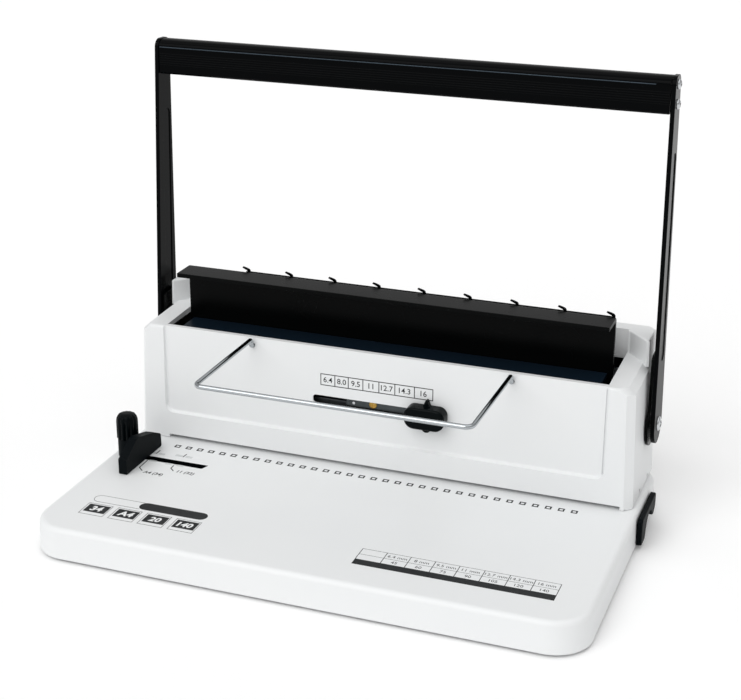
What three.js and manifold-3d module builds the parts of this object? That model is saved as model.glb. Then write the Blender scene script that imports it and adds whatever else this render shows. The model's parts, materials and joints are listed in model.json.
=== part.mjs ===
// A desk machine that punches a row of square holes in paper and presses wire spines closed.
// Millimetres. The origin is on the table under the middle of the base, +X to the right as the
// user stands, +Y towards the back and +Z up.
import * as THREE from "three";
import { mergeVertices } from "three/addons/utils/BufferGeometryUtils.js";
import Module from "manifold-3d";

const wasm = await Module();
wasm.setup();

// Clearances, and how far a cut runs past the face it opens; leaning walls start further below it
const seat = 0.3;
const running = 0.1;
const overrun = 1;
const deepOverrun = 10;

// How finely round shapes are divided
const round = 32;
const smallRound = 16;
const cornerSteps = 5;

// Base: a white moulded tray, open below, that stands on four feet
const base = {
  sideRoom: 34.2667,
  depth: 224,
  height: 20.7,
  wall: 2.6,
  cornerRadius: 24,
  edgeRadius: 3,
  draft: 0.6,
};
const foot = { radius: 8, stand: 2, stemRadius: 2.5, stemLength: 9, inset: 27, bossRadius: 6 };
const bottomPlate = { thickness: 1.2, recess: 0.6, play: 0.6 };

// Housing: the white upper shell over the punching and closing works
const housing = {
  rearInset: 2,
  sideInset: 5.2,
  height: 84.8,
  rise: 15,
  wall: 2.8,
  cornerRadius: 5,
  edgeRadius: 1.6,
  sideDraft: 3.2,
  frontDraft: 1,
};
const panel = { margin: 19, recess: 2.5, sill: 19.3, cornerRadius: 6 };
const trough = { endGap: 3.7, intoRidge: 1.5, lip: 2, lipDepth: 5 };
const ridge = { thickness: 14, cornerRun: 15.6, cornerReach: 16.6 };

// Punching works: paper throat, dies, punch bar and its pins
const throat = { gap: 2.7, leftMargin: 20.5, rightMargin: 7.5 };
const punch = {
  count: 34,
  pitch: 8.46667,
  side: 3.9,
  row: 12.4,
  postGap: 5.6,
  edgeToHole: 4.5,
  stroke: 9,
  rest: 1,
  barDepth: 8,
  barHeight: 20,
  pinLength: 20,
  pinPoint: 0.5,
};
const die = { thickness: 3, beyondFrame: 1.5333, ledge: 2.5, ledgeHeight: 2.7, play: 0.15 };
const guide = { thickness: 4, rear: 6.8 };
const stop = { depth: 4 };

// Side frames, the shaft that they carry, and what turns on it
const frame = {
  thickness: 3,
  inset: 5,
  topGap: 9.5,
  setback: 1.2,
  rearMargin: 6,
  flangeWidth: 13,
  flangeDepth: 32,
};
const tieBar = { side: 8, lift: 3.5 };
const shaft = { radius: 6, rise: 42.3, fromRear: 27, tenon: 6.5, tenonLength: 5, bore: 2.2, boreDepth: 16 };
const turn = { reach: THREE.MathUtils.degToRad(84) };
const eccentric = { radius: 15, width: 4, wallGap: 2.1 };
const yoke = { rim: 5, sideGap: 0.7 };
const crank = { thickness: 3.4, hubRadius: 10, endRadius: 6, pinRadius: 3, spacing: 0.8, eccentricGap: 0.6 };

// Closing works: the pressing bar, the plate it presses on, and what guides it
const closing = {
  flangeDepth: 21.5,
  thickness: 3,
  bendRadius: 3,
  lift: 31.8,
  stroke: 28,
  aboveShaft: 4,
};
const slotPlate = { thickness: 3, rim: 6.5, slack: 0.7 };
const jaw = { endGap: 3.2, drop: 5.5, thickness: 3, notchWidth: 9, notchDepth: 8.5 };
const post = { radius: 4, inset: 24.2, fromWeb: 7 };
const bushing = { halfWidth: 9, height: 20, wall: 4.4, aboveShaft: 3 };
const hook = {
  count: 9,
  pitch: 31.55,
  inset: 3,
  width: 2.4,
  thickness: 1.2,
  rise: 3.2,
  reach: 6.2,
  stripHeight: 20,
};

// Lever: two flat arms, the handle bar between them and the plates at their lower ends
const arm = {
  thickness: 2.8,
  lowerRadius: 13,
  upperHalfWidth: 8.2,
  length: 226.2,
  cornerRadius: 5.5,
  grooveWidth: 7,
  grooveDepth: 0.6,
  grooveLow: 43,
  grooveHigh: 178,
};
const lean = { back: THREE.MathUtils.degToRad(1.1), inward: THREE.MathUtils.degToRad(0.97) };
const leverPlate = { thickness: 1.8, above: 49, halfWidth: 9, lowerRadius: 15, cornerRadius: 3 };
const bar = {
  halfDepth: 8.1,
  height: 18.4,
  crown: 4.4,
  belowTip: 23,
  edgeRadius: 1.2,
  coreHalfDepth: 5.6,
  coreHeight: 4.2,
};
const barScrew = { radius: 1.6, length: 12, headRadius: 3.2, headHeight: 1.7, low: 5.4, high: 17.6, slack: 0.4 };
const pivotScrew = { radius: 2, length: 11, headRadius: 4.8, headHeight: 1.8 };
const crossSlot = { width: 1, depth: 0.9, lengthShare: 1.15 };

// Diameter selector: slotted panel, slider, knob and the screw seen in the slot
const selector = {
  height: 45.3,
  slotHeight: 4.8,
  slotLeft: -45,
  slotRight: 44,
  sliderLeft: -22,
  sliderRight: 48,
  sliderHeight: 14,
  sliderThickness: 1.8,
  travel: 67,
  wall: 1.2,
  pocketMargin: 4,
};
const selectorKnob = {
  x: 36,
  width: 28,
  height: 16.3,
  depth: 8,
  edgeRadius: 1.5,
  stemLength: 10,
  pointerWidth: 5,
  pointerHeight: 3.4,
  pointerDepth: 3,
  nubRadius: 3.2,
};
const selectorScrew = { x: -3, headRadius: 2.8, headHeight: 1, radius: 1.5, slotDepth: 0.6 };
const selectorRivet = { x: -15.7, z: -1.5, radius: 1.2, height: 0.6 };

// Wire rack that plugs into the front panel
const rack = {
  radius: 1.6,
  centre: 1.6,
  halfWidth: 89.8,
  reach: 83.5,
  below: 2.9,
  hookDrop: 5,
  bendRadius: 5,
  hookRadius: 1.7,
  standOff: 2.4,
  plug: 10.2,
  play: 0.25,
};
const rackSocket = { radius: 3.4, length: 7.8 };

// Edge guide on the deck, with its knob and the bolt that comes up through the slot
const edgeGuide = {
  faceFromSide: 27.2,
  width: 6,
  frontToHousing: 64.7,
  length: 49.5,
  endHeight: 9,
  topHeight: 19.4,
  topFrontShare: 0.34,
  topBackShare: 0.5,
  footHeight: 1.6,
  slotToHousing: 35.2,
  slotWidth: 6,
  slotLeft: 6.7,
  slotRight: 70.2,
};
const guideKnob = {
  fromBar: 8.6,
  lobeRadius: 8,
  lobeHeight: 12.9,
  radius: 7.5,
  height: 17.8,
  dome: 4.5,
  flutes: 12,
  fluteShare: 0.05,
  boreDepth: 9.4,
};
const clampBolt = { radius: 2.5, side: 12, headHeight: 4 };

// Waste drawer under the dies, and its handle
const drawer = { left: 10, depth: 40, shift: 4.9, height: 12.4, wall: 1.6, play: 0.5 };
const rail = { thickness: 2, beyond: 2.5 };
const handle = {
  thickness: 3.4,
  front: 5,
  depth: 45,
  rise: 0.9,
  top: 18.4,
  legShare: 0.32,
  toothShare: 0.18,
  archShare: 0.7,
  cornerRadius: 2.4,
};

// Headless screws, sunk a little below the sides, that hold the housing to the side frames
const coverScrew = { radius: 1.4, sink: 1, slotDepth: 0.8, slotWidth: 0.6, rise: 3, frontInset: 20, rearInset: 16 };

// Levels and planes that several pieces share
const rimZ = foot.stand;
const deckZ = rimZ + base.height;
const rowHalf = (punch.count * punch.pitch) / 2;
const baseHalf = rowHalf + base.sideRoom;
const baseWidth = 2 * baseHalf;
const baseFront = -base.depth / 2;
const baseRear = base.depth / 2;
const plateZ = rimZ + bottomPlate.recess;
const plateTop = plateZ + bottomPlate.thickness;

const shaftY = baseRear - shaft.fromRear;
const shaftZ = deckZ + shaft.rise;
const webRear = shaftY - shaft.radius - seat - slotPlate.rim;
const webFront = webRear - closing.thickness;
const postY = webFront - post.fromWeb;
const rowY = postY - post.radius - punch.postGap - punch.barDepth / 2;

const frontY = rowY - punch.row;
const rearY = baseRear - housing.rearInset;
const housingHalf = baseHalf - housing.sideInset;
const housingFoot = deckZ + seat;
const housingTop = deckZ + housing.height;
const ridgeTop = housingTop + housing.rise;
const panelY = frontY + panel.recess;
const innerY = panelY + housing.wall;
const ridgeFront = rearY - ridge.thickness;
const troughRear = ridgeFront + trough.intoRidge;

const guideZ = deckZ + throat.gap;
const guideTop = guideZ + guide.thickness;
const barFront = rowY - punch.barDepth / 2;
const barRear = rowY + punch.barDepth / 2;
const barZ = guideZ + punch.rest + punch.pinLength;

const frameOuter = housingHalf - housing.sideDraft / 2 - frame.inset;
const frameInner = frameOuter - frame.thickness;
const frameFront = innerY + frame.setback;
const frameRear = rearY - frame.rearMargin;
const dieHalf = frameOuter + die.beyondFrame;
const lowestPlateShare = (shaft.rise - leverPlate.lowerRadius) / housing.height;
const leverPlateInner = housingHalf - housing.sideDraft * lowestPlateShare + seat;
const shaftEnd = leverPlateInner - seat;
const halfTurn = turn.reach / 2;

const crankLength = closing.stroke / 2 / Math.sin(halfTurn);
const crankPinY = shaftY - crankLength * Math.cos(halfTurn);
const crankPinZ = shaftZ + closing.stroke / 2;
const throwLength = punch.stroke / 2 / Math.sin(halfTurn);
const eccentricY = shaftY - throwLength * Math.cos(halfTurn);
const eccentricZ = shaftZ + punch.stroke / 2;
const eccentricOuter = frameInner - eccentric.wallGap;

const crankOuter = eccentricOuter - eccentric.width - crank.eccentricGap;
const slotPlateOuter = crankOuter - crank.thickness - crank.spacing;
const closingHalf = slotPlateOuter - slotPlate.thickness - seat;
const troughHalf = closingHalf + trough.endGap;
const jawHalf = closingHalf - jaw.endGap;
const postHalfSpan = closingHalf - post.inset;
const lastHook = closingHalf - hook.inset;
const flangeTop = housingTop + closing.lift;
const jawTop = housingTop - jaw.drop;

const plateLean = leverPlate.above * Math.tan(lean.inward);
const armInner = leverPlateInner + leverPlate.thickness + plateLean + seat;

const slotY = frontY - edgeGuide.slotToHousing;
const guideFace = -baseHalf + edgeGuide.faceFromSide;
const knobX = guideFace - edgeGuide.width - guideKnob.fromBar;
const deckUnder = deckZ - base.wall;

const drawerY = rowY + drawer.shift;
const drawerFront = drawerY - drawer.depth / 2;
const drawerRear = drawerY + drawer.depth / 2;
const drawerZ = plateTop + seat;

const selectorZ = deckZ + selector.height;

// Materials
function finish(color, roughness, metalness) {
  return new THREE.MeshStandardMaterial({ color, roughness, metalness });
}
const white = () => finish("#e4e5e3", 0.45, 0);
const black = () => finish("#0c0e0f", 0.35, 0.1);
const steel = () => finish("#9da1a4", 0.35, 1);
const zinc = () => finish("#b9bcc0", 0.3, 1);
const chrome = () => finish("#d8dbde", 0.12, 1);
const brass = () => finish("#b3924a", 0.35, 1);
const rubber = () => finish("#1b1c1d", 0.9, 0);

// Solids, for joining and cutting
function toSolid(geometry) {
  const bare = geometry.clone();
  bare.deleteAttribute("normal");
  bare.deleteAttribute("uv");
  const merged = mergeVertices(bare, 1e-4);
  return new wasm.Manifold(
    new wasm.Mesh({
      numProp: 3,
      vertProperties: new Float32Array(merged.attributes.position.array),
      triVerts: new Uint32Array(merged.index.array),
    }),
  );
}

function toGeometry(solid) {
  const mesh = solid.getMesh();
  const geometry = new THREE.BufferGeometry();
  geometry.setAttribute("position", new THREE.BufferAttribute(new Float32Array(mesh.vertProperties), 3));
  geometry.setIndex(new THREE.BufferAttribute(new Uint32Array(mesh.triVerts), 1));
  geometry.computeVertexNormals();
  return geometry;
}

function join(first, ...others) {
  return others.reduce((sum, solid) => sum.add(solid), first);
}

function cut(first, ...others) {
  return others.reduce((rest, solid) => rest.subtract(solid), first);
}

// A block between two values on each axis
function block([x0, x1], [y0, y1], [z0, z1]) {
  const geometry = new THREE.BoxGeometry(x1 - x0, y1 - y0, z1 - z0);
  geometry.translate((x0 + x1) / 2, (y0 + y1) / 2, (z0 + z1) / 2);
  return toSolid(geometry);
}

// A round bar from one point to another along X, Y or Z
function roundBar(radius, axis, [from, to], [a, b], sides = round) {
  const geometry = new THREE.CylinderGeometry(radius, radius, to - from, sides);
  geometry.translate(0, (from + to) / 2, 0);
  if (axis === "x") {
    geometry.rotateZ(-Math.PI / 2);
    geometry.translate(0, a, b);
  } else if (axis === "y") {
    geometry.translate(a, 0, b);
  } else {
    geometry.rotateX(Math.PI / 2);
    geometry.translate(a, b, 0);
  }
  return toSolid(geometry);
}

function shapeOf(points) {
  return new THREE.Shape(points.map(([a, b]) => new THREE.Vector2(a, b)));
}

function roundedRectangle([a0, a1], [b0, b1], radius) {
  const shape = new THREE.Shape();
  shape.moveTo(a0 + radius, b0);
  shape.lineTo(a1 - radius, b0);
  shape.absarc(a1 - radius, b0 + radius, radius, -Math.PI / 2, 0, false);
  shape.lineTo(a1, b1 - radius);
  shape.absarc(a1 - radius, b1 - radius, radius, 0, Math.PI / 2, false);
  shape.lineTo(a0 + radius, b1);
  shape.absarc(a0 + radius, b1 - radius, radius, Math.PI / 2, Math.PI, false);
  shape.lineTo(a0, b0 + radius);
  shape.absarc(a0 + radius, b0 + radius, radius, Math.PI, Math.PI * 1.5, false);
  return shape;
}

// An upright extrusion of a plan outline between two heights
function upright(shape, [z0, z1], curveSegments = cornerSteps) {
  const geometry = new THREE.ExtrudeGeometry(shape, { depth: z1 - z0, bevelEnabled: false, curveSegments });
  geometry.translate(0, 0, z0);
  return geometry;
}

// An upright extrusion whose upper edge is rounded, and which starts well below its foot
function roundedTop(shape, [z0, z1], radius) {
  const geometry = new THREE.ExtrudeGeometry(shape, {
    depth: z1 - z0 + deepOverrun - radius,
    bevelThickness: radius,
    bevelSize: radius,
    bevelOffset: -radius,
    bevelSegments: 3,
    curveSegments: cornerSteps,
  });
  geometry.translate(0, 0, z0 - deepOverrun);
  return geometry;
}

// A side view, drawn as y against z, given its width along X
function sideways(shape, [x0, x1], curveSegments = cornerSteps) {
  const geometry = new THREE.ExtrudeGeometry(shape, { depth: x1 - x0, bevelEnabled: false, curveSegments });
  geometry.rotateX(Math.PI / 2);
  geometry.rotateZ(Math.PI / 2);
  geometry.translate(x0, 0, 0);
  return geometry;
}

// Walls that lean in towards the top, by the given amounts at full height
function leanIn(geometry, [z0, z1], [halfWidth, draftX], [middleY, halfDepth, draftY]) {
  const place = geometry.attributes.position;
  for (let i = 0; i < place.count; i += 1) {
    const rise = (place.getZ(i) - z0) / (z1 - z0);
    place.setX(i, place.getX(i) * (1 - (rise * draftX) / halfWidth));
    place.setY(i, middleY + (place.getY(i) - middleY) * (1 - (rise * draftY) / halfDepth));
  }
  return geometry;
}

function mesh(name, geometry, material) {
  const made = new THREE.Mesh(geometry, material);
  made.name = name;
  return made;
}

function solidMesh(name, solid, material) {
  return mesh(name, toGeometry(solid), material);
}

// The four feet's places
function footPlaces() {
  const x = baseHalf - foot.inset;
  const y = base.depth / 2 - foot.inset;
  return [
    [-x, -y],
    [x, -y],
    [-x, y],
    [x, y],
  ];
}

function baseOutline(inset) {
  const radius = base.cornerRadius - inset;
  return roundedRectangle([-baseHalf + inset, baseHalf - inset], [baseFront + inset, baseRear - inset], radius);
}

// White tray with the die window, the guide's slot and the drawer's mouth
function baseTray() {
  const levels = [rimZ, deckZ];
  const wide = [baseHalf, base.draft];
  const deep = [0, base.depth / 2, base.draft];
  const outside = toSolid(leanIn(roundedTop(baseOutline(0), levels, base.edgeRadius), levels, wide, deep));
  const inside = toSolid(
    leanIn(upright(baseOutline(base.wall), [rimZ - deepOverrun, deckUnder]), levels, wide, deep),
  );
  const below = block([-baseWidth, baseWidth], [-base.depth, base.depth], [-2 * deepOverrun, rimZ]);
  const dieUnder = deckZ - die.thickness;
  const ledgeZ = dieUnder - die.ledgeHeight;
  const dieFront = innerY + seat + running;
  const dieRear = webFront - guide.thickness / 4;
  const shelf = block(
    [-dieHalf - die.ledge, dieHalf + die.ledge],
    [dieFront - die.ledge, dieRear + die.ledge],
    [ledgeZ, deckUnder + base.wall / 2],
  );
  const window = block(
    [-dieHalf - die.play, dieHalf + die.play],
    [dieFront - die.play, dieRear + die.play],
    [dieUnder - running, deckZ + overrun],
  );
  const chute = block(
    [-dieHalf + die.ledge, dieHalf - die.ledge],
    [dieFront + die.ledge, dieRear - die.ledge],
    [ledgeZ - overrun, deckZ + overrun],
  );
  const slot = block(
    [-baseHalf + edgeGuide.slotLeft, -baseHalf + edgeGuide.slotRight],
    [slotY - edgeGuide.slotWidth / 2, slotY + edgeGuide.slotWidth / 2],
    [deckUnder - overrun, deckZ + overrun],
  );
  const mouth = block(
    [baseHalf - base.wall - base.draft - overrun, baseHalf + overrun],
    [drawerFront - drawer.play, drawerRear + drawer.play],
    [drawerZ - drawer.play, drawerZ + drawer.height + drawer.play],
  );
  const railLevels = [plateTop + seat, deckUnder + base.wall / 2];
  const railFront = drawerFront - drawer.play - rail.thickness;
  const railRear = drawerRear + drawer.play + rail.thickness;
  const railLeft = -rowHalf - drawer.left - rail.beyond - rail.thickness;
  const railRight = baseHalf - base.wall;
  const rails = [
    block([railLeft, railRight], [railFront, railFront + rail.thickness], railLevels),
    block([railLeft, railRight], [railRear - rail.thickness, railRear], railLevels),
    block([railLeft, railLeft + rail.thickness], [railFront, railRear], railLevels),
  ];
  const bosses = footPlaces().map(([x, y]) =>
    roundBar(foot.bossRadius, "z", [plateTop + seat, deckUnder + base.wall / 2], [x, y], smallRound),
  );
  const bores = footPlaces().map(([x, y]) =>
    roundBar(foot.stemRadius + running, "z", [plateTop, rimZ + foot.stemLength + overrun], [x, y], smallRound),
  );
  const shell = join(cut(outside, inside, below), shelf, ...rails, ...bosses);
  return solidMesh("base_tray", cut(shell, window, chute, slot, mouth, ...bores), white());
}

function bottomCover() {
  const inset = base.wall + bottomPlate.play;
  const plate = toSolid(upright(baseOutline(inset), [plateZ, plateTop]));
  const holes = footPlaces().map(([x, y]) =>
    roundBar(foot.stemRadius + running, "z", [plateZ - overrun, plateTop + overrun], [x, y], smallRound),
  );
  return solidMesh("bottom_plate", cut(plate, ...holes), zinc());
}

// Push-in rubber feet: a disc and the stem that holds it
function feet() {
  const names = ["front_left", "front_right", "rear_left", "rear_right"];
  const discTop = plateZ - seat;
  const profile = [
    [0, 0],
    [foot.radius, 0],
    [foot.radius, discTop],
    [foot.stemRadius, discTop],
    [foot.stemRadius, rimZ + foot.stemLength],
    [0, rimZ + foot.stemLength],
  ];
  return footPlaces().map(([x, y], i) => {
    const geometry = new THREE.LatheGeometry(
      profile.map(([r, h]) => new THREE.Vector2(r, h)),
      smallRound,
    );
    geometry.rotateX(Math.PI / 2);
    const made = solidMesh(`foot_${names[i]}`, toSolid(geometry), rubber());
    made.position.set(x, y, 0);
    return made;
  });
}

function punchPlaces() {
  return Array.from({ length: punch.count }, (_, i) => -rowHalf + (i + 0.5) * punch.pitch);
}

// A plate with the row of square holes that the pins pass through
function holedPlate(name, halfLength, [y0, y1], [z0, z1]) {
  const plate = block([-halfLength, halfLength], [y0, y1], [z0, z1]);
  const half = punch.side / 2 + running;
  const holes = punchPlaces().map((x) =>
    block([x - half, x + half], [rowY - half, rowY + half], [z0 - overrun, z1 + overrun]),
  );
  return solidMesh(name, cut(plate, ...holes), steel());
}

function dies() {
  const front = innerY + seat + running;
  const rear = webFront - guide.thickness / 4;
  const stopFront = rowY + punch.edgeToHole;
  const stopHalf = frameInner - seat;
  return [
    holedPlate("die_plate", dieHalf, [front, rear], [deckZ - die.thickness, deckZ]),
    holedPlate("guide_plate", frameInner - seat, [front, rear], [guideZ, guideTop]),
    solidMesh(
      "throat_stop",
      block([-stopHalf, stopHalf], [stopFront, stopFront + stop.depth], [deckZ + running, guideZ - running]),
      steel(),
    ),
  ];
}

// A side frame: bores for the shaft, a slot for the punch bar's end, a hole for each cover screw
function sideFrame(side) {
  const low = deckZ + seat;
  const top = housingTop - frame.topGap;
  const outline = roundedRectangle([frameFront, frameRear], [low, top], housing.cornerRadius);
  const flange = block(
    [frameInner - frame.flangeWidth, frameOuter],
    [frameRear - frame.flangeDepth, frameRear],
    [low, low + frame.thickness],
  );
  const plate = join(toSolid(sideways(outline, [frameInner, frameOuter])), flange);
  const across = [frameInner - overrun, frameOuter + overrun];
  const bore = roundBar(shaft.radius + running, "x", across, [shaftY, shaftZ]);
  const slot = block(
    across,
    [barFront - running, barRear + running],
    [barZ - punch.stroke - running, barZ + punch.barHeight + running],
  );
  const holes = coverScrewPlaces().map(([y, z]) =>
    roundBar(coverScrew.radius + running, "x", across, [y, z], smallRound),
  );
  const made = solidMesh(`side_frame_${side}`, cut(plate, bore, slot, ...holes), zinc());
  return side === "left" ? mirrored(made) : made;
}

// A piece for the left side, made from the right side's
function mirrored(made) {
  made.geometry.scale(-1, 1, 1);
  const index = made.geometry.index;
  for (let i = 0; i < index.count; i += 3) {
    const held = index.getX(i);
    index.setX(i, index.getX(i + 1));
    index.setX(i + 1, held);
  }
  made.geometry.computeVertexNormals();
  return made;
}

function crossMembers() {
  const low = deckZ + tieBar.lift;
  const rear = frameRear - tieBar.lift;
  const half = frameInner - seat;
  const beam = block([-half, half], [rear - tieBar.side, rear], [low, low + tieBar.side]);
  const under = jawTop - jaw.thickness;
  const posts = [-1, 1].map((sign) =>
    solidMesh(
      sign < 0 ? "guide_post_left" : "guide_post_right",
      roundBar(post.radius, "z", [guideTop + seat, under - seat], [sign * postHalfSpan, postY]),
      chrome(),
    ),
  );
  return [solidMesh("tie_bar", beam, zinc()), ...posts];
}

function lowerJaw() {
  const front = innerY + overrun;
  const rear = webFront - 2 * seat;
  const plate = block([-jawHalf, jawHalf], [front, rear], [jawTop - jaw.thickness, jawTop]);
  const notches = [-1, 1].map((sign) => {
    const x = rack.centre + sign * rack.halfWidth;
    return block(
      [x - jaw.notchWidth / 2, x + jaw.notchWidth / 2],
      [front - overrun, front + jaw.notchDepth],
      [jawTop - jaw.thickness - overrun, jawTop + overrun],
    );
  });
  return solidMesh("lower_jaw", cut(plate, ...notches), black());
}

// The housing's walls and ridge, before the openings are cut
function housingBody() {
  const middle = (frontY + rearY) / 2;
  const half = (rearY - frontY) / 2;
  const levels = [housingFoot, housingTop];
  const wide = [housingHalf, housing.sideDraft];
  const deep = [middle, half, housing.frontDraft];
  const outline = roundedRectangle([-housingHalf, housingHalf], [frontY, rearY], housing.cornerRadius);
  const outside = leanIn(roundedTop(outline, levels, housing.edgeRadius), levels, wide, deep);
  const inset = housing.wall;
  const innerOutline = roundedRectangle(
    [-housingHalf + inset, housingHalf - inset],
    [innerY, rearY - inset],
    housing.cornerRadius - inset / 2,
  );
  const inside = leanIn(upright(innerOutline, [housingFoot - deepOverrun, housingTop - inset]), levels, wide, [
    innerY,
    half,
    0,
  ]);
  const ridgeInner = housingHalf - ridge.cornerRun;
  const ridgePlan = shapeOf([
    [-housingHalf, rearY],
    [-housingHalf, ridgeFront - ridge.cornerReach],
    [-ridgeInner, ridgeFront],
    [ridgeInner, ridgeFront],
    [housingHalf, ridgeFront - ridge.cornerReach],
    [housingHalf, rearY],
  ]);
  const top = leanIn(
    roundedTop(ridgePlan, [housingTop - inset / 2, ridgeTop], housing.edgeRadius),
    levels,
    wide,
    deep,
  );
  const aboveSkin = block(
    [-baseWidth, baseWidth],
    [-base.depth, base.depth],
    [housingTop - inset / 2, ridgeTop + overrun],
  );
  const aboveFoot = block(
    [-baseWidth, baseWidth],
    [-base.depth, base.depth],
    [housingFoot, ridgeTop + overrun],
  );
  const shell = cut(toSolid(outside).intersect(aboveFoot), toSolid(inside));
  return join(shell, toSolid(top).intersect(aboveSkin));
}

// The block that the trough is cut from, which leaves lips hanging from the trough's edges
function troughBlock() {
  const outer = troughHalf + trough.lip;
  return block(
    [-outer, outer],
    [innerY - seat, troughRear + trough.lip],
    [housingTop - trough.lipDepth, housingTop - housing.wall / 2],
  );
}

function coverScrewPlaces() {
  const z = deckZ + coverScrew.rise;
  return [
    [frameFront + coverScrew.frontInset, z],
    [frameRear - coverScrew.rearInset, z],
  ];
}

// White housing with its recessed front panel, trough, paper throat and holes
function housingCover() {
  const panelHalf = housingHalf - panel.margin;
  const recess = roundedRectangle(
    [-panelHalf, panelHalf],
    [deckZ + panel.sill, ridgeTop + housing.height],
    panel.cornerRadius,
  );
  const recessCut = new THREE.ExtrudeGeometry(recess, {
    depth: panel.recess + overrun,
    bevelEnabled: false,
    curveSegments: cornerSteps,
  });
  recessCut.rotateX(Math.PI / 2);
  recessCut.translate(0, panelY, 0);
  const well = block(
    [-troughHalf, troughHalf],
    [innerY + seat, troughRear],
    [housingTop - trough.lipDepth - overrun, ridgeTop + overrun],
  );
  const mouth = block(
    [-housingHalf + throat.leftMargin, housingHalf - throat.rightMargin],
    [frontY - overrun, innerY + overrun],
    [housingFoot - overrun, guideZ],
  );
  const slotHalf = selector.slotHeight / 2;
  const slotOutline = roundedRectangle(
    [selector.slotLeft, selector.slotRight],
    [selectorZ - slotHalf, selectorZ + slotHalf],
    slotHalf * 0.6,
  );
  const slotCut = new THREE.ExtrudeGeometry(slotOutline, {
    depth: housing.wall + 2 * overrun,
    bevelEnabled: false,
    curveSegments: cornerSteps,
  });
  slotCut.rotateX(Math.PI / 2);
  slotCut.translate(0, innerY + overrun, 0);
  const pocketHalf = selector.sliderHeight / 2 + selector.pocketMargin / 2;
  const pocket = block(
    [
      selector.sliderLeft - selector.travel - selector.pocketMargin,
      selector.sliderRight + selector.pocketMargin,
    ],
    [panelY + selector.wall, innerY + overrun],
    [selectorZ - pocketHalf, selectorZ + pocketHalf],
  );
  const wall = [-housingHalf - overrun, housingHalf + overrun];
  const bore = roundBar(shaft.radius + overrun, "x", wall, [shaftY, shaftZ]);
  const screwHoles = coverScrewPlaces().map(([y, z]) =>
    roundBar(coverScrew.radius + running, "x", wall, [y, z], smallRound),
  );
  const rackHoles = [-1, 1].map((sign) =>
    roundBar(
      rack.radius + rack.play,
      "y",
      [panelY - overrun, innerY + overrun],
      [rack.centre + sign * rack.halfWidth, rackHoleZ()],
      smallRound,
    ),
  );
  const shell = join(housingBody(), troughBlock());
  const made = cut(
    shell,
    toSolid(recessCut),
    well,
    mouth,
    toSolid(slotCut),
    pocket,
    bore,
    ...screwHoles,
    ...rackHoles,
  );
  return solidMesh("housing_cover", made, white());
}

// A pan head with a cross in it, drawn at the origin with its shank along +Z
function crossHeadScrew(radius, length, headRadius, headHeight, slotDepth = crossSlot.depth) {
  const profile = [
    [0, -headHeight],
    [headRadius * 0.6, -headHeight],
    [headRadius * 0.92, -headHeight * 0.6],
    [headRadius, 0],
    [radius, 0],
    [radius, length],
    [0, length],
  ];
  const geometry = new THREE.LatheGeometry(
    profile.map(([r, h]) => new THREE.Vector2(r, h)),
    smallRound,
  );
  geometry.rotateX(Math.PI / 2);
  const reach = (headRadius * crossSlot.lengthShare) / 2;
  const half = crossSlot.width / 2;
  const depth = [-headHeight - overrun, -headHeight + slotDepth];
  return cut(
    toSolid(geometry),
    block([-reach, reach], [-half, half], depth),
    block([-half, half], [-reach, reach], depth),
  );
}

// A screw driven into a side face: sign gives the side, x the face it seats on
function sideScrew(name, solid, sign, x, y, z, material) {
  const made = solidMesh(name, solid, material);
  made.rotation.y = (-sign * Math.PI) / 2;
  made.position.set(sign * x, y, z);
  return made;
}

function coverScrews() {
  const c = coverScrew;
  const end = housingHalf - c.sink;
  const across = [end - c.slotDepth, end + overrun];
  const made = [];
  for (const sign of [-1, 1]) {
    coverScrewPlaces().forEach(([y, z], i) => {
      const shank = roundBar(c.radius, "x", [frameInner, end], [y, z], smallRound);
      const slot = block(across, [y - c.radius - overrun, y + c.radius + overrun], [
        z - c.slotWidth / 2,
        z + c.slotWidth / 2,
      ]);
      const side = sign < 0 ? "left" : "right";
      const screw = solidMesh(`cover_screw_${side}_${i + 1}`, cut(shank, slot), black());
      made.push(sign < 0 ? mirrored(screw) : screw);
    });
  }
  return made;
}

// Punch bar with its row of square pins
function punchBar() {
  const half = frameOuter - seat;
  const back = block([-half, half], [barFront, barRear], [barZ, barZ + punch.barHeight]);
  const side = punch.side / 2;
  const pins = punchPlaces().map((x) =>
    block([x - side, x + side], [rowY - side, rowY + side], [barZ - punch.pinLength, barZ + punch.barHeight / 4]),
  );
  return solidMesh("punch_bar", join(back, ...pins), steel());
}

// Plates behind the punch bar whose windows ride on the shaft's eccentrics
function punchYoke(sign) {
  const reach = eccentric.radius + yoke.sideGap;
  const swing = throwLength - throwLength * Math.cos(halfTurn);
  const inner = eccentricOuter - eccentric.width;
  const windowY = [eccentricY - swing - reach, eccentricY + reach];
  const windowZ = [eccentricZ - reach, eccentricZ + reach];
  const outline = roundedRectangle(
    [barRear + seat, windowY[1] + yoke.rim],
    [windowZ[0] - yoke.rim, windowZ[1] + yoke.rim],
    yoke.rim,
  );
  const plate = toSolid(sideways(outline, [inner, eccentricOuter]));
  const window = block([inner - overrun, eccentricOuter + overrun], windowY, windowZ);
  const made = solidMesh(sign < 0 ? "punch_yoke_left" : "punch_yoke_right", cut(plate, window), zinc());
  return sign < 0 ? mirrored(made) : made;
}

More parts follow.
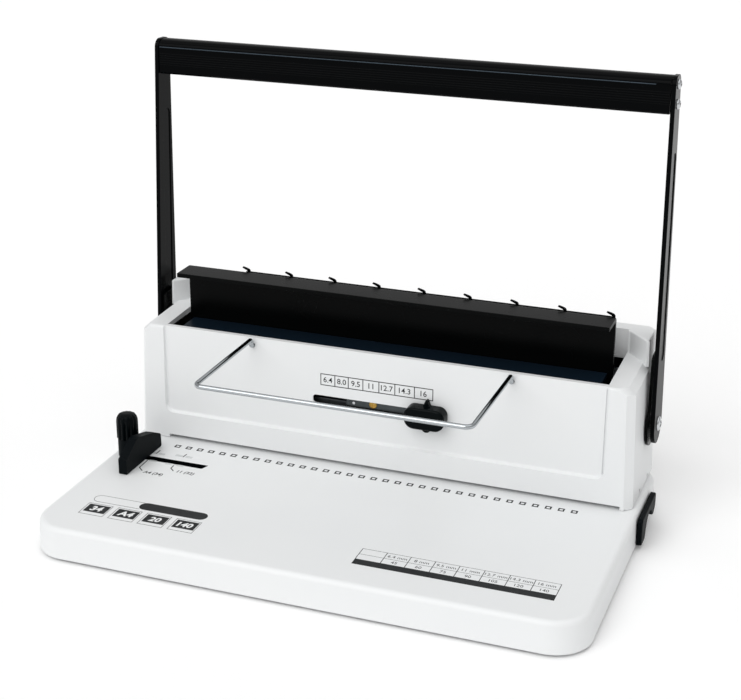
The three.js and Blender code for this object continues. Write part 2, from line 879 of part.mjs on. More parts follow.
// Angle-section bar that presses the wire spine
function closingBar() {
  const front = webRear - closing.flangeDepth;
  const low = shaftZ + closing.aboveShaft;
  const r = closing.bendRadius;
  const t = closing.thickness;
  const shape = new THREE.Shape();
  shape.moveTo(front, flangeTop - t);
  shape.lineTo(webFront - r / 2, flangeTop - t);
  shape.absarc(webFront - r / 2, flangeTop - t - r / 2, r / 2, Math.PI / 2, 0, true);
  shape.lineTo(webFront, low);
  shape.lineTo(webRear, low);
  shape.lineTo(webRear, flangeTop - r);
  shape.absarc(webRear - r, flangeTop - r, r, 0, Math.PI / 2, false);
  shape.lineTo(front, flangeTop);
  shape.closePath();
  const geometry = sideways(shape, [-closingHalf, closingHalf], 3);
  return solidMesh("closing_bar", toSolid(geometry), black());
}

// Strip behind the closing bar with the claws that curl over its rear edge
function hookStrip() {
  const y0 = webRear + seat;
  const y1 = y0 + hook.thickness;
  const right = lastHook + hook.width / 2;
  const left = lastHook - (hook.count - 1) * hook.pitch - hook.width / 2;
  const strip = block([left, right], [y0, y1], [flangeTop - closing.bendRadius - hook.stripHeight, flangeTop - seat]);
  const tipZ = flangeTop + hook.rise;
  const claw = shapeOf([
    [y1, flangeTop - hook.stripHeight / 2],
    [y1, flangeTop + hook.rise * 0.55],
    [y1 - hook.reach * 0.2, tipZ],
    [y1 - hook.reach * 0.55, tipZ + hook.thickness * 0.1],
    [y1 - hook.reach, tipZ - hook.rise * 0.45],
    [y1 - hook.reach * 0.55, tipZ - hook.thickness],
    [y0 - seat * 0.5, flangeTop + hook.rise * 0.4],
    [y0, flangeTop - hook.stripHeight / 2],
  ]);
  const claws = Array.from({ length: hook.count }, (_, i) => {
    const x = lastHook - i * hook.pitch;
    return toSolid(sideways(claw, [x - hook.width / 2, x + hook.width / 2]));
  });
  return solidMesh("hook_strip", join(strip, ...claws), black());
}

// Slotted plates on the ends of the closing bar, driven by the crank pins
function closingSlotPlate(sign) {
  const x0 = closingHalf + seat;
  const x1 = x0 + slotPlate.thickness;
  const slack = crank.pinRadius + slotPlate.slack;
  const y0 = shaftY - crankLength - slack;
  const y1 = crankPinY + slack;
  const outline = roundedRectangle(
    [y0 - slotPlate.rim, shaftY - shaft.radius - seat],
    [crankPinZ - slack - slotPlate.rim, crankPinZ + slack + slotPlate.rim],
    slotPlate.rim / 2,
  );
  const plate = toSolid(sideways(outline, [x0, x1]));
  const slot = block([x0 - overrun, x1 + overrun], [y0, y1], [crankPinZ - slack, crankPinZ + slack]);
  const name = sign < 0 ? "closing_slot_plate_left" : "closing_slot_plate_right";
  const made = solidMesh(name, cut(plate, slot), zinc());
  return sign < 0 ? mirrored(made) : made;
}

// Blocks on the closing bar that slide on the guide posts
function postBushing(sign) {
  const x = sign * postHalfSpan;
  const low = shaftZ + bushing.aboveShaft;
  const levels = [low, low + bushing.height];
  const front = postY - post.radius - running - bushing.wall;
  const body = block([x - bushing.halfWidth, x + bushing.halfWidth], [front, webFront - seat], levels);
  const bore = roundBar(post.radius + running, "z", [low - overrun, levels[1] + overrun], [x, postY]);
  return solidMesh(sign < 0 ? "post_bushing_left" : "post_bushing_right", cut(body, bore), brass());
}

// Shaft with a square tenon and a screw bore at each end
function leverShaft() {
  const barrel = roundBar(shaft.radius, "x", [-shaftEnd, shaftEnd], [shaftY, shaftZ]);
  const tenonEnd = shaftEnd + shaft.tenonLength;
  const half = shaft.tenon / 2;
  const tenons = block([-tenonEnd, tenonEnd], [shaftY - half, shaftY + half], [shaftZ - half, shaftZ + half]);
  const bores = [-1, 1].map((sign) => {
    const ends = [sign * (tenonEnd + overrun), sign * (tenonEnd - shaft.boreDepth)].sort((a, b) => a - b);
    return roundBar(shaft.bore, "x", ends, [shaftY, shaftZ], smallRound);
  });
  return solidMesh("lever_shaft", cut(join(barrel, tenons), ...bores), steel());
}

function punchEccentric(sign) {
  const span = [eccentricOuter - eccentric.width, eccentricOuter];
  const disc = roundBar(eccentric.radius, "x", span, [eccentricY, eccentricZ], round * 2);
  const bore = roundBar(shaft.radius + running, "x", [span[0] - overrun, span[1] + overrun], [shaftY, shaftZ]);
  const made = solidMesh(sign < 0 ? "punch_eccentric_left" : "punch_eccentric_right", cut(disc, bore), steel());
  return sign < 0 ? mirrored(made) : made;
}

// Cranks whose pins ride in the slotted plates
function closingCrank(sign) {
  const x0 = crankOuter - crank.thickness;
  const x1 = x0 + crank.thickness;
  const hub = roundBar(crank.hubRadius, "x", [x0, x1], [shaftY, shaftZ]);
  const end = roundBar(crank.endRadius, "x", [x0, x1], [crankPinY, crankPinZ]);
  const across = new THREE.Vector2(shaftZ - crankPinZ, crankPinY - shaftY).normalize();
  const a = across.clone().multiplyScalar(crank.hubRadius);
  const b = across.clone().multiplyScalar(crank.endRadius);
  const web = toSolid(
    sideways(
      shapeOf([
        [shaftY + a.x, shaftZ + a.y],
        [crankPinY + b.x, crankPinZ + b.y],
        [crankPinY - b.x, crankPinZ - b.y],
        [shaftY - a.x, shaftZ - a.y],
      ]),
      [x0, x1],
    ),
  );
  const pin = roundBar(crank.pinRadius, "x", [closingHalf + 2 * seat, x0 + crank.thickness / 2], [
    crankPinY,
    crankPinZ,
  ]);
  const bore = roundBar(shaft.radius + running, "x", [x0 - overrun, x1 + overrun], [shaftY, shaftZ]);
  const made = solidMesh(
    sign < 0 ? "closing_crank_left" : "closing_crank_right",
    cut(join(hub, end, web, pin), bore),
    steel(),
  );
  return sign < 0 ? mirrored(made) : made;
}

// A tall outline about the pivot: round below, narrower and round-cornered above
function armOutline(lowerRadius, upperHalf, length, corner) {
  const shape = new THREE.Shape();
  shape.moveTo(-lowerRadius, 0);
  shape.absarc(0, 0, lowerRadius, Math.PI, Math.PI * 2, false);
  shape.lineTo(upperHalf, length - corner);
  shape.absarc(upperHalf - corner, length - corner, corner, 0, Math.PI / 2, false);
  shape.lineTo(-upperHalf + corner, length);
  shape.absarc(-upperHalf + corner, length - corner, corner, Math.PI / 2, Math.PI, false);
  shape.closePath();
  return shape;
}

function grooveOutline() {
  const half = arm.grooveWidth / 2;
  const shape = new THREE.Shape();
  shape.absarc(0, arm.grooveLow + half, half, Math.PI, Math.PI * 2, false);
  shape.absarc(0, arm.grooveHigh - half, half, 0, Math.PI, false);
  shape.closePath();
  return shape;
}

const barLow = arm.length - bar.belowTip;
const screwHeights = [barLow + barScrew.low, barLow + barScrew.high];

// One arm in its own frame: origin on the pivot, +X outwards from its inner face
function leverArm(name) {
  const t = arm.thickness;
  const outline = armOutline(arm.lowerRadius, arm.upperHalfWidth, arm.length, arm.cornerRadius);
  const plate = toSolid(sideways(outline, [0, t], cornerSteps * 2));
  const grooves = [
    [-overrun, arm.grooveDepth],
    [t - arm.grooveDepth, t + overrun],
  ].map((span) => toSolid(sideways(grooveOutline(), span, cornerSteps)));
  const square = shaft.tenon / 2 + seat;
  const holes = [
    block([-overrun, t + overrun], [-square, square], [-square, square]),
    ...screwHeights.map((z) =>
      roundBar(barScrew.radius + running, "x", [-overrun, t + overrun], [0, z], smallRound),
    ),
  ];
  return solidMesh(name, cut(plate, ...grooves, ...holes), black());
}

// Handle bar: a flat-sided section with a crowned top, hollow between its two rows of screws
function handleBar() {
  const half = bar.halfDepth;
  const r = bar.edgeRadius;
  const side = barLow + bar.height;
  const shape = new THREE.Shape();
  shape.moveTo(-half + r, barLow);
  shape.lineTo(half - r, barLow);
  shape.absarc(half - r, barLow + r, r, -Math.PI / 2, 0, false);
  shape.lineTo(half, side);
  shape.bezierCurveTo(
    half * 0.85,
    side + bar.crown * 0.8,
    half * 0.4,
    side + bar.crown,
    0,
    side + bar.crown,
  );
  shape.bezierCurveTo(-half * 0.4, side + bar.crown, -half * 0.85, side + bar.crown * 0.8, -half, side);
  shape.lineTo(-half, barLow + r);
  shape.absarc(-half + r, barLow + r, r, Math.PI, Math.PI * 1.5, false);
  const reach = armInner - Math.tan(lean.inward) * arm.length - seat;
  const body = toSolid(sideways(shape, [-reach, reach], cornerSteps));
  const middle = (screwHeights[0] + screwHeights[1]) / 2;
  const core = block(
    [-reach - overrun, reach + overrun],
    [-bar.coreHalfDepth, bar.coreHalfDepth],
    [middle - bar.coreHeight / 2, middle + bar.coreHeight / 2],
  );
  const bores = screwHeights.flatMap((z) =>
    [-1, 1].map((sign) => {
      const ends = [sign * (reach + overrun), sign * (reach - barScrew.length)].sort((a, b) => a - b);
      return roundBar(barScrew.radius + barScrew.slack, "x", ends, [0, z], smallRound);
    }),
  );
  return solidMesh("handle_bar", cut(body, core, ...bores), black());
}

// Plates between the arms and the housing, square-holed for the shaft's tenons
function leverPlateMesh(sign) {
  const x = [leverPlateInner, leverPlateInner + leverPlate.thickness];
  const strip = roundedRectangle(
    [-leverPlate.halfWidth, leverPlate.halfWidth],
    [-leverPlate.cornerRadius, leverPlate.above],
    leverPlate.cornerRadius,
  );
  const disc = roundBar(leverPlate.lowerRadius, "x", x, [0, 0]);
  const plate = join(disc, toSolid(sideways(strip, x)));
  const half = shaft.tenon / 2 + running;
  const hole = block([x[0] - overrun, x[1] + overrun], [-half, half], [-half, half]);
  const made = solidMesh(sign < 0 ? "lever_plate_left" : "lever_plate_right", cut(plate, hole), black());
  return sign < 0 ? mirrored(made) : made;
}

// The arms' assembly leans back a little, and each arm leans in towards the handle bar
function lever() {
  const group = new THREE.Group();
  group.position.set(0, shaftY, shaftZ);
  const leaning = new THREE.Group();
  leaning.rotation.x = -lean.back;
  leaning.add(handleBar());
  for (const sign of [-1, 1]) {
    const side = sign < 0 ? "left" : "right";
    const armGroup = new THREE.Group();
    armGroup.position.x = sign * armInner;
    armGroup.rotation.y = -sign * lean.inward;
    const made = leverArm(`lever_arm_${side}`);
    armGroup.add(sign < 0 ? mirrored(made) : made);
    const face = arm.thickness + seat;
    screwHeights.forEach((z, i) => {
      const solid = crossHeadScrew(
        barScrew.radius,
        barScrew.length + arm.thickness,
        barScrew.headRadius,
        barScrew.headHeight,
      );
      armGroup.add(sideScrew(`bar_screw_${side}_${i + 1}`, solid, sign, face, 0, z, zinc()));
    });
    const pivot = crossHeadScrew(
      pivotScrew.radius,
      pivotScrew.length,
      pivotScrew.headRadius,
      pivotScrew.headHeight,
    );
    armGroup.add(sideScrew(`pivot_screw_${side}`, pivot, sign, face, 0, 0, zinc()));
    leaning.add(armGroup);
    group.add(leverPlateMesh(sign));
  }
  group.add(leaning);
  return group;
}

// Selector: a slider behind the panel, and the knob and screw in front of it
function selectorPieces() {
  const headY = panelY + selector.wall + seat;
  const y0 = headY + selectorScrew.headHeight + running;
  const y1 = y0 + selector.sliderThickness;
  const half = selector.sliderHeight / 2;
  const plate = block(
    [selector.sliderLeft, selector.sliderRight],
    [y0, y1],
    [selectorZ - half, selectorZ + half],
  );
  const hole = roundBar(
    selectorScrew.radius + running,
    "y",
    [y0 - overrun, y1 + overrun],
    [selectorScrew.x, selectorZ],
    smallRound,
  );
  const screw = new THREE.Group();
  const shank = crossHeadScrew(
    selectorScrew.radius,
    selector.sliderThickness + running,
    selectorScrew.headRadius,
    selectorScrew.headHeight,
    selectorScrew.slotDepth,
  );
  const rivet = roundBar(
    selectorRivet.radius,
    "y",
    [y0 - selectorRivet.height, y0 + running],
    [selectorRivet.x, selectorZ + selectorRivet.z],
    smallRound,
  );
  const screwMesh = solidMesh("selector_screw", shank, brass());
  screwMesh.rotation.x = -Math.PI / 2;
  screw.position.set(selectorScrew.x, headY + selectorScrew.headHeight, selectorZ);
  screw.add(screwMesh);
  return [solidMesh("selector_slider", cut(join(plate, rivet), hole), zinc()), screw, selectorKnobMesh(y0)];
}

function selectorKnobMesh(sliderFace) {
  const k = selectorKnob;
  const rear = panelY - seat;
  const shape = new THREE.Shape();
  shape.absellipse(0, 0, k.width / 2, k.height / 2, 0, Math.PI * 2, false);
  const body = new THREE.ExtrudeGeometry(shape, {
    depth: k.depth - k.edgeRadius,
    bevelThickness: k.edgeRadius,
    bevelSize: k.edgeRadius,
    bevelOffset: -k.edgeRadius,
    bevelSegments: 2,
    curveSegments: smallRound,
  });
  body.rotateX(Math.PI / 2);
  body.translate(0, rear - k.edgeRadius, 0);
  const half = k.height / 2;
  const pointer = new THREE.ExtrudeGeometry(
    shapeOf([
      [-k.pointerWidth / 2, half * 0.8],
      [k.pointerWidth / 2, half * 0.8],
      [0, half + k.pointerHeight],
    ]),
    { depth: k.pointerDepth, bevelEnabled: false },
  );
  pointer.rotateX(Math.PI / 2);
  pointer.translate(0, rear, 0);
  const nub = roundBar(k.nubRadius, "y", [rear - k.pointerDepth, rear], [0, -half], smallRound);
  const stem = block(
    [-k.stemLength / 2, k.stemLength / 2],
    [rear - k.depth / 2, sliderFace - running],
    [-selector.slotHeight / 2 + seat, selector.slotHeight / 2 - seat],
  );
  const made = solidMesh("selector_knob", join(toSolid(body), toSolid(pointer), nub, stem), black());
  made.position.set(k.x, 0, selectorZ);
  return made;
}

function rackHoleZ() {
  return housingTop - rack.below - rack.hookDrop;
}

// A path given by its own points, so that its bends are divided as they are drawn
class WirePath extends THREE.Curve {
  constructor(points) {
    super();
    this.points = points;
  }

  getPoint(t, target = new THREE.Vector3()) {
    const place = t * (this.points.length - 1);
    const i = Math.min(Math.floor(place), this.points.length - 2);
    return target.lerpVectors(this.points[i], this.points[i + 1], place - i);
  }

  getPointAt(u, target) {
    return this.getPoint(u, target);
  }

  getTangentAt(u, target = new THREE.Vector3()) {
    const i = Math.round(u * (this.points.length - 1));
    const before = this.points[Math.max(i - 1, 0)];
    const after = this.points[Math.min(i + 1, this.points.length - 1)];
    const here = this.points[i];
    const arriving = here.clone().sub(before).normalize();
    const leaving = after.clone().sub(here).normalize();
    return target.addVectors(arriving, leaving).normalize();
  }
}

// Points round the corner between two legs
function bend(from, corner, to, radius, steps) {
  const arriving = from.clone().sub(corner).normalize();
  const leaving = to.clone().sub(corner).normalize();
  const centre = corner.clone().addScaledVector(arriving, radius).addScaledVector(leaving, radius);
  return Array.from({ length: steps + 1 }, (_, i) => {
    const angle = (i / steps) * (Math.PI / 2);
    return centre
      .clone()
      .addScaledVector(leaving, -radius * Math.cos(angle))
      .addScaledVector(arriving, -radius * Math.sin(angle));
  });
}

// Wire rack: a U of wire whose ends hook down and plug into the panel
function rackRod() {
  const left = rack.centre - rack.halfWidth;
  const right = rack.centre + rack.halfWidth;
  const high = housingTop - rack.below;
  const low = rackHoleZ();
  const neck = panelY - rack.standOff;
  const front = neck - rack.reach;
  const corners = [
    [left, panelY + rack.plug, low],
    [left, neck, low],
    [left, neck, high],
    [left, front, high],
    [right, front, high],
    [right, neck, high],
    [right, neck, low],
    [right, panelY + rack.plug, low],
  ].map((p) => new THREE.Vector3(...p));
  const radii = [rack.hookRadius, rack.hookRadius, rack.bendRadius, rack.bendRadius, rack.hookRadius, rack.hookRadius];
  const points = [corners[0]];
  radii.forEach((radius, i) => {
    points.push(...bend(corners[i], corners[i + 1], corners[i + 2], radius, 4));
  });
  points.push(corners[corners.length - 1]);
  const section = new THREE.Shape();
  section.absarc(0, 0, rack.radius, 0, Math.PI * 2, false);
  const geometry = new THREE.ExtrudeGeometry(section, {
    extrudePath: new WirePath(points),
    steps: points.length - 1,
    curveSegments: 10,
  });
  return solidMesh("rack_rod", toSolid(geometry), chrome());
}

// Sockets behind the panel that the rack's ends plug into
function rackSocketMesh(sign) {
  const x = rack.centre + sign * rack.halfWidth;
  const span = [innerY + seat, innerY + seat + rackSocket.length];
  const body = roundBar(rackSocket.radius, "y", span, [x, rackHoleZ()]);
  const bore = roundBar(rack.radius + running, "y", [span[0] - overrun, span[1] + overrun], [x, rackHoleZ()]);
  return solidMesh(sign < 0 ? "rack_socket_left" : "rack_socket_right", cut(body, bore), black());
}

// Edge guide: a low fence along Y with a lobe for its knob
function edgeGuideBar() {
  const g = edgeGuide;
  const y0 = frontY - g.frontToHousing;
  const low = deckZ + seat;
  const end = deckZ + g.endHeight;
  const top = deckZ + g.topHeight;
  const y = (share) => y0 + g.length * share;
  const fence = sideways(
    shapeOf([
      [y(0), low],
      [y(0.96), low],
      [y(1), low + g.footHeight],
      [y(1), end - g.footHeight],
      [y(0.95), end + g.footHeight * 0.4],
      [y(0.84), end + (top - end) * 0.45],
      [y(g.topBackShare), top],
      [y(g.topFrontShare), top],
      [y(0.05), end + g.footHeight],
      [y(0), end],
    ]),
    [guideFace - g.width, guideFace],
  );
  const lobeTop = deckZ + guideKnob.lobeHeight;
  const lobe = roundBar(guideKnob.lobeRadius, "z", [low, lobeTop], [knobX, slotY]);
  const bridge = block(
    [knobX, guideFace - g.width / 2],
    [slotY - guideKnob.lobeRadius, slotY + guideKnob.lobeRadius],
    [low, lobeTop],
  );
  const bore = roundBar(
    clampBolt.radius + running,
    "z",
    [low - overrun, lobeTop + overrun],
    [knobX, slotY],
    smallRound,
  );
  const knobRoom = roundBar(
    guideKnob.radius + seat,
    "z",
    [lobeTop, top + overrun],
    [knobX, slotY],
  );
  return solidMesh("edge_guide_bar", cut(join(toSolid(fence), lobe, bridge), bore, knobRoom), black());
}

// Fluted knob with a domed top, bored for the clamp bolt
function edgeGuideKnob() {
  const k = guideKnob;
  const low = deckZ + k.lobeHeight + seat;
  const top = low + k.height;
  const outline = Array.from({ length: k.flutes * 4 }, (_, i) => {
    const angle = (i / (k.flutes * 4)) * Math.PI * 2;
    const r = k.radius * (1 - k.fluteShare * (0.5 - 0.5 * Math.cos(angle * k.flutes)));
    return [r * Math.cos(angle), r * Math.sin(angle)];
  });
  const body = toSolid(upright(shapeOf(outline), [low, top]));
  const side = top - k.dome;
  const profile = [
    [0, low - overrun],
    [k.radius + overrun, low - overrun],
    [k.radius + overrun, side - k.dome],
    [k.radius, side],
    [k.radius * 0.93, side + k.dome * 0.45],
    [k.radius * 0.72, side + k.dome * 0.78],
    [k.radius * 0.4, side + k.dome * 0.95],
    [0, top],
  ];
  const dome = new THREE.LatheGeometry(
    profile.map(([r, h]) => new THREE.Vector2(r, h)),
    round,
  );
  dome.rotateX(Math.PI / 2);
  const bore = roundBar(
    clampBolt.radius + running,
    "z",
    [low - overrun, low + k.boreDepth],
    [0, 0],
    smallRound,
  );
  const made = solidMesh("edge_guide_knob", cut(body.intersect(toSolid(dome)), bore), black());
  made.position.set(knobX, slotY, 0);
  return made;
}

// Square-headed bolt: its head bears on the deck from below, and the knob screws onto its shank
function clampBoltMesh() {
  const c = clampBolt;
  const top = deckUnder - seat;
  const half = c.side / 2;
  const head = block([-half, half], [-half, half], [top - c.headHeight, top]);
  const knobLow = deckZ + guideKnob.lobeHeight + seat;
  const tip = knobLow + guideKnob.boreDepth - running;
  const shank = roundBar(c.radius, "z", [top - c.headHeight / 2, tip], [0, 0], smallRound);
  const made = solidMesh("clamp_bolt", join(head, shank), zinc());
  made.position.set(knobX, slotY, 0);
  return made;
}

// Open-topped tray that catches the punched chips
function wasteDrawer() {
  const left = -rowHalf - drawer.left;
  const right = baseHalf;
  const top = drawerZ + drawer.height;
  const w = drawer.wall;
  const body = block([left, right], [drawerFront, drawerRear], [drawerZ, top]);
  const hollow = block(
    [left + w, right - w - base.wall],
    [drawerFront + w, drawerRear - w],
    [drawerZ + w, top + overrun],
  );
  return solidMesh("waste_drawer", cut(body, hollow), black());
}

// Handle plate on the drawer's end, arched for a finger
function drawerHandle() {
  const h = handle;
  const y0 = drawerFront - h.front + drawer.wall;
  const y1 = y0 + h.depth;
  const z0 = rimZ + h.rise;
  const z1 = z0 + h.top;
  const leg = y0 + h.depth * h.legShare;
  const tooth = y1 - h.depth * h.toothShare;
  const archTop = z0 + h.top * h.archShare;
  const r = h.cornerRadius;
  const shape = new THREE.Shape();
  shape.moveTo(y0 + r, z0);
  shape.lineTo(leg, z0);
  shape.lineTo(leg + r / 2, z0 + h.top * 0.4);
  shape.quadraticCurveTo(leg + r, archTop, (leg + tooth) / 2, archTop);
  shape.quadraticCurveTo(tooth - r / 2, archTop, tooth, z0 + h.top * 0.3);
  shape.lineTo(y1 - r / 2, z0 + h.top * 0.45);
  shape.lineTo(y1, z1 - r);
  shape.absarc(y1 - r, z1 - r, r, 0, Math.PI / 2, false);
  shape.lineTo(y0 + r, z1);
  shape.absarc(y0 + r, z1 - r, r, Math.PI / 2, Math.PI, false);
  shape.lineTo(y0, z0 + r);
  shape.absarc(y0 + r, z0 + r, r, Math.PI, Math.PI * 1.5, false);
  const x0 = baseHalf + seat;
  const plate = toSolid(sideways(shape, [x0, x0 + h.thickness], 4));
  return solidMesh("drawer_handle", plate, black());
}

const binder = new THREE.Group();
binder.name = "wire_binding_machine";
binder.add(baseTray(), bottomCover(), ...feet(), ...dies());
binder.add(sideFrame("left"), sideFrame("right"), ...crossMembers(), lowerJaw());
binder.add(housingCover(), ...coverScrews());
binder.add(punchBar(), punchYoke(-1), punchYoke(1));
binder.add(closingBar(), hookStrip(), closingSlotPlate(-1), closingSlotPlate(1));
binder.add(postBushing(-1), postBushing(1));
binder.add(leverShaft(), punchEccentric(-1), punchEccentric(1), closingCrank(-1), closingCrank(1));
binder.add(lever(), ...selectorPieces(), rackRod(), rackSocketMesh(-1), rackSocketMesh(1));
binder.add(edgeGuideBar(), edgeGuideKnob(), clampBoltMesh(), wasteDrawer(), drawerHandle());

export default binder;
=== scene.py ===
# %% [markdown]
# # A desk machine that punches sheets and closes wire spines
#
# The machine was first drawn as exact solids. Here those solids are loaded as a
# fixed frame, and the surfaces that the eye sees are modelled again round it,
# with the soft edges, grooves, prints and finishes that a real one has.

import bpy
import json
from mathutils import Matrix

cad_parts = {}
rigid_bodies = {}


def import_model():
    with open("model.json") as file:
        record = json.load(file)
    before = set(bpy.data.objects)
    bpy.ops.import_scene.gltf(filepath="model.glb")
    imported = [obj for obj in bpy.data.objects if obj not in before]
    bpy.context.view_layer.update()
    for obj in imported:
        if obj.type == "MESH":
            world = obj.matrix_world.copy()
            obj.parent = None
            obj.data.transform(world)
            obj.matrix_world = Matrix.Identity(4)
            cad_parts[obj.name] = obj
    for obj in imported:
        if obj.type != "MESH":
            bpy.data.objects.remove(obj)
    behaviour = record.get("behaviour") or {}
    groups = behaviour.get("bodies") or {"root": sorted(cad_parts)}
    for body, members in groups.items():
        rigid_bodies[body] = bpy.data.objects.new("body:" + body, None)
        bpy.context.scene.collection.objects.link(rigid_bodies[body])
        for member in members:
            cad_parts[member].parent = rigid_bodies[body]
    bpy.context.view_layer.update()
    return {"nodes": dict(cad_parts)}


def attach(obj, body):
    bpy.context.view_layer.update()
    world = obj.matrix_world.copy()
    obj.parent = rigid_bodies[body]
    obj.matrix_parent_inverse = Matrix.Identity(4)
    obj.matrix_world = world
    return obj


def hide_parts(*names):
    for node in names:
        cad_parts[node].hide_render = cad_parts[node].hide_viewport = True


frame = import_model()

import json
import math

import bmesh
import bpy
from mathutils import Matrix, Vector

# %% [markdown]
# ## Sizes in millimetres
#
# The scene is in metres, but a machine is drawn in millimetres. One factor and one
# short function turn a place in millimetres into a vector in metres, so that the
# numbers below read like a drawing.

# %% One unit
MM = 0.001


def at(*mm):
    return Vector(mm) * MM


print("1 mm is", MM, "m")

# %% [markdown]
# ## Shapes from an outline
#
# Sheet metal and moulded walls are nearly all prisms: an outline pulled along one
# axis. The outline starts as a few corners. A bevel of its vertices rounds them and
# an extrusion pulls the face, as it would be done by hand in edit mode.


# %% Outlines and prisms
def points_in(geom):
    return [g for g in geom if isinstance(g, bmesh.types.BMVert)]


def prism(plan, axis, span, rounded=None, steps=8):
    bm = bmesh.new()
    low, high = span
    places = {
        "x": lambda a, b: at(low, a, b),
        "y": lambda a, b: at(a, low, b),
        "z": lambda a, b: at(a, b, low),
    }
    corners = [bm.verts.new(places[axis](a, b)) for a, b in plan]
    bm.faces.new(corners)
    rounded = rounded or {}
    for reach in sorted(set(rounded.values())):
        chosen = [corners[i] for i, r in rounded.items() if r == reach]
        bmesh.ops.bevel(
            bm, geom=chosen, offset=reach * MM, offset_type="OFFSET", segments=steps,
            profile=0.5, affect="VERTICES", material=-1,
        )
    pulled = bmesh.ops.extrude_face_region(bm, geom=bm.faces[:])["geom"]
    way = {"x": (1, 0, 0), "y": (0, 1, 0), "z": (0, 0, 1)}[axis]
    bmesh.ops.translate(bm, vec=Vector(way) * (high - low) * MM, verts=points_in(pulled))
    bmesh.ops.recalc_face_normals(bm, faces=bm.faces)
    return bm


def box_plan(a0, a1, b0, b1):
    return [(a0, b0), (a1, b0), (a1, b1), (a0, b1)]


def every_corner(radius):
    return {i: radius for i in range(4)}


def block(x, y, z):
    return prism(box_plan(*x, *y), "z", z)


print("outline tools ready")

# %% [markdown]
# ## Round rods
#
# Pins, holes and discs are short cylinders. The cone operator makes them upright at
# the origin, and one matrix lays each along its axis and sets it in its place.


# %% Rods along an axis
def rod(radius, axis, span, centre, sides=32):
    bm = bmesh.new()
    bmesh.ops.create_cone(
        bm, cap_ends=True, segments=sides, radius1=radius * MM, radius2=radius * MM,
        depth=(span[1] - span[0]) * MM,
    )
    quarter = math.pi / 2
    turn = {
        "x": Matrix.Rotation(quarter, 4, "Y"),
        "y": Matrix.Rotation(quarter, 4, "X"),
        "z": Matrix.Identity(4),
    }[axis]
    middle = (span[0] + span[1]) / 2
    a, b = centre
    place = {"x": (middle, a, b), "y": (a, middle, b), "z": (a, b, middle)}[axis]
    bmesh.ops.transform(bm, matrix=Matrix.Translation(at(*place)) @ turn, verts=bm.verts)
    return bm


print("rod tool ready")

# %% [markdown]
# ## Soft edges
#
# No moulded part has a knife edge. A bevel rounds chosen edges. They are chosen by a
# small test: those that lie at one level, or those that run along one axis.


# %% Choosing and rounding edges
def rim(axis, level):
    i = "xyz".index(axis)
    return lambda e: all(abs(v.co[i] - level * MM) < 1e-6 for v in e.verts)


def along(axis):
    i = "xyz".index(axis)

    def is_along(e):
        step = e.verts[1].co - e.verts[0].co
        return step.length > 0 and abs(step[i]) / step.length > 0.97

    return is_along


def soften(bm, which, radius, steps=4):
    bmesh.ops.bevel(
        bm, geom=[e for e in bm.edges if which(e)], offset=radius * MM, offset_type="OFFSET",
        segments=steps, profile=0.5, affect="EDGES", material=-1, clamp_overlap=True,
    )
    return bm


print("bevel tools ready")

# %% [markdown]
# ## From mesh to object
#
# A bmesh becomes an object that sits at the origin, with its place in its mesh.
# Openings are cut with the exact Boolean and baked at once, because later steps
# work on the shape that the cut leaves.


# %% Solids and cuts
def solid(name, bm):
    mesh = bpy.data.meshes.new(name)
    bm.to_mesh(mesh)
    bm.free()
    piece = bpy.data.objects.new(name, mesh)
    bpy.context.scene.collection.objects.link(piece)
    return piece


def combine(piece, tool, how="DIFFERENCE"):
    other = solid("tool", tool)
    step = piece.modifiers.new("combine", "BOOLEAN")
    step.operation = how
    step.object = other
    step.solver = "EXACT"
    seen = piece.evaluated_get(bpy.context.evaluated_depsgraph_get())
    shaped = bpy.data.meshes.new_from_object(seen)
    piece.modifiers.clear()
    old = piece.data
    piece.data = shaped
    bpy.data.meshes.remove(old)
    shaped.name = piece.name
    used = other.data
    bpy.data.objects.remove(other)
    bpy.data.meshes.remove(used)
    return piece


print("cutting tools ready")

# %% [markdown]
# ## The finished piece
#
# Each finished piece keeps one or two live modifiers. A small bevel eases the edges
# that are still sharp. A piece whose rims are already soft skips it, and only marks
# its sharp edges. Weighted normals keep the large faces looking flat.


# %% Finishing a piece
def finish_piece(piece, material, body, slot, *nodes, ease=0.4, steps=2, angle=38, flat_above=None):
    piece.data.materials.clear()
    piece.data.materials.append(material)
    piece.data.shade_smooth()
    if flat_above:
        for face in piece.data.polygons:
            face.use_smooth = face.area < flat_above * MM * MM
    if ease:
        edge = piece.modifiers.new("eased edges", "BEVEL")
        edge.width = ease * MM
        edge.segments = steps
        edge.limit_method = "ANGLE"
        edge.angle_limit = math.radians(angle)
    else:
        piece.data.set_sharp_from_angle(angle=math.radians(angle))
    flat = piece.modifiers.new("flat faces", "WEIGHTED_NORMAL")
    flat.keep_sharp = True
    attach(piece, body)
    if nodes:
        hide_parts(*nodes)
    print(f"{piece.name}: {len(piece.data.polygons)} faces on {body}")
    return piece


print("finishing tool ready")

# %% [markdown]
# ## Finishes
#
# Every finish is a small node tree. One function adds a node with its settings and
# its links, so a tree reads from top to bottom like a recipe. Colours are written as
# sRGB hex codes, and `ink` turns them to the linear values that shaders count in.
# Patterns are placed in Object coordinates, in metres, so a grain of 0.9 mm has a
# scale of 1 / 0.0009.


# %% Colours and nodes
def ink(code):
    parts = [int(code[i : i + 2], 16) / 255 for i in (1, 3, 5)]
    linear = [c / 12.92 if c <= 0.04045 else ((c + 0.055) / 1.055) ** 2.4 for c in parts]
    return (*linear, 1.0)


def add(tree, kind, inputs=None, **settings):
    made = tree.nodes.new(kind)
    for name, value in settings.items():
        setattr(made, name, value)
    for socket, value in (inputs or {}).items():
        if isinstance(value, bpy.types.NodeSocket):
            tree.links.new(value, made.inputs[socket])
        else:
            made.inputs[socket].default_value = value
    return made


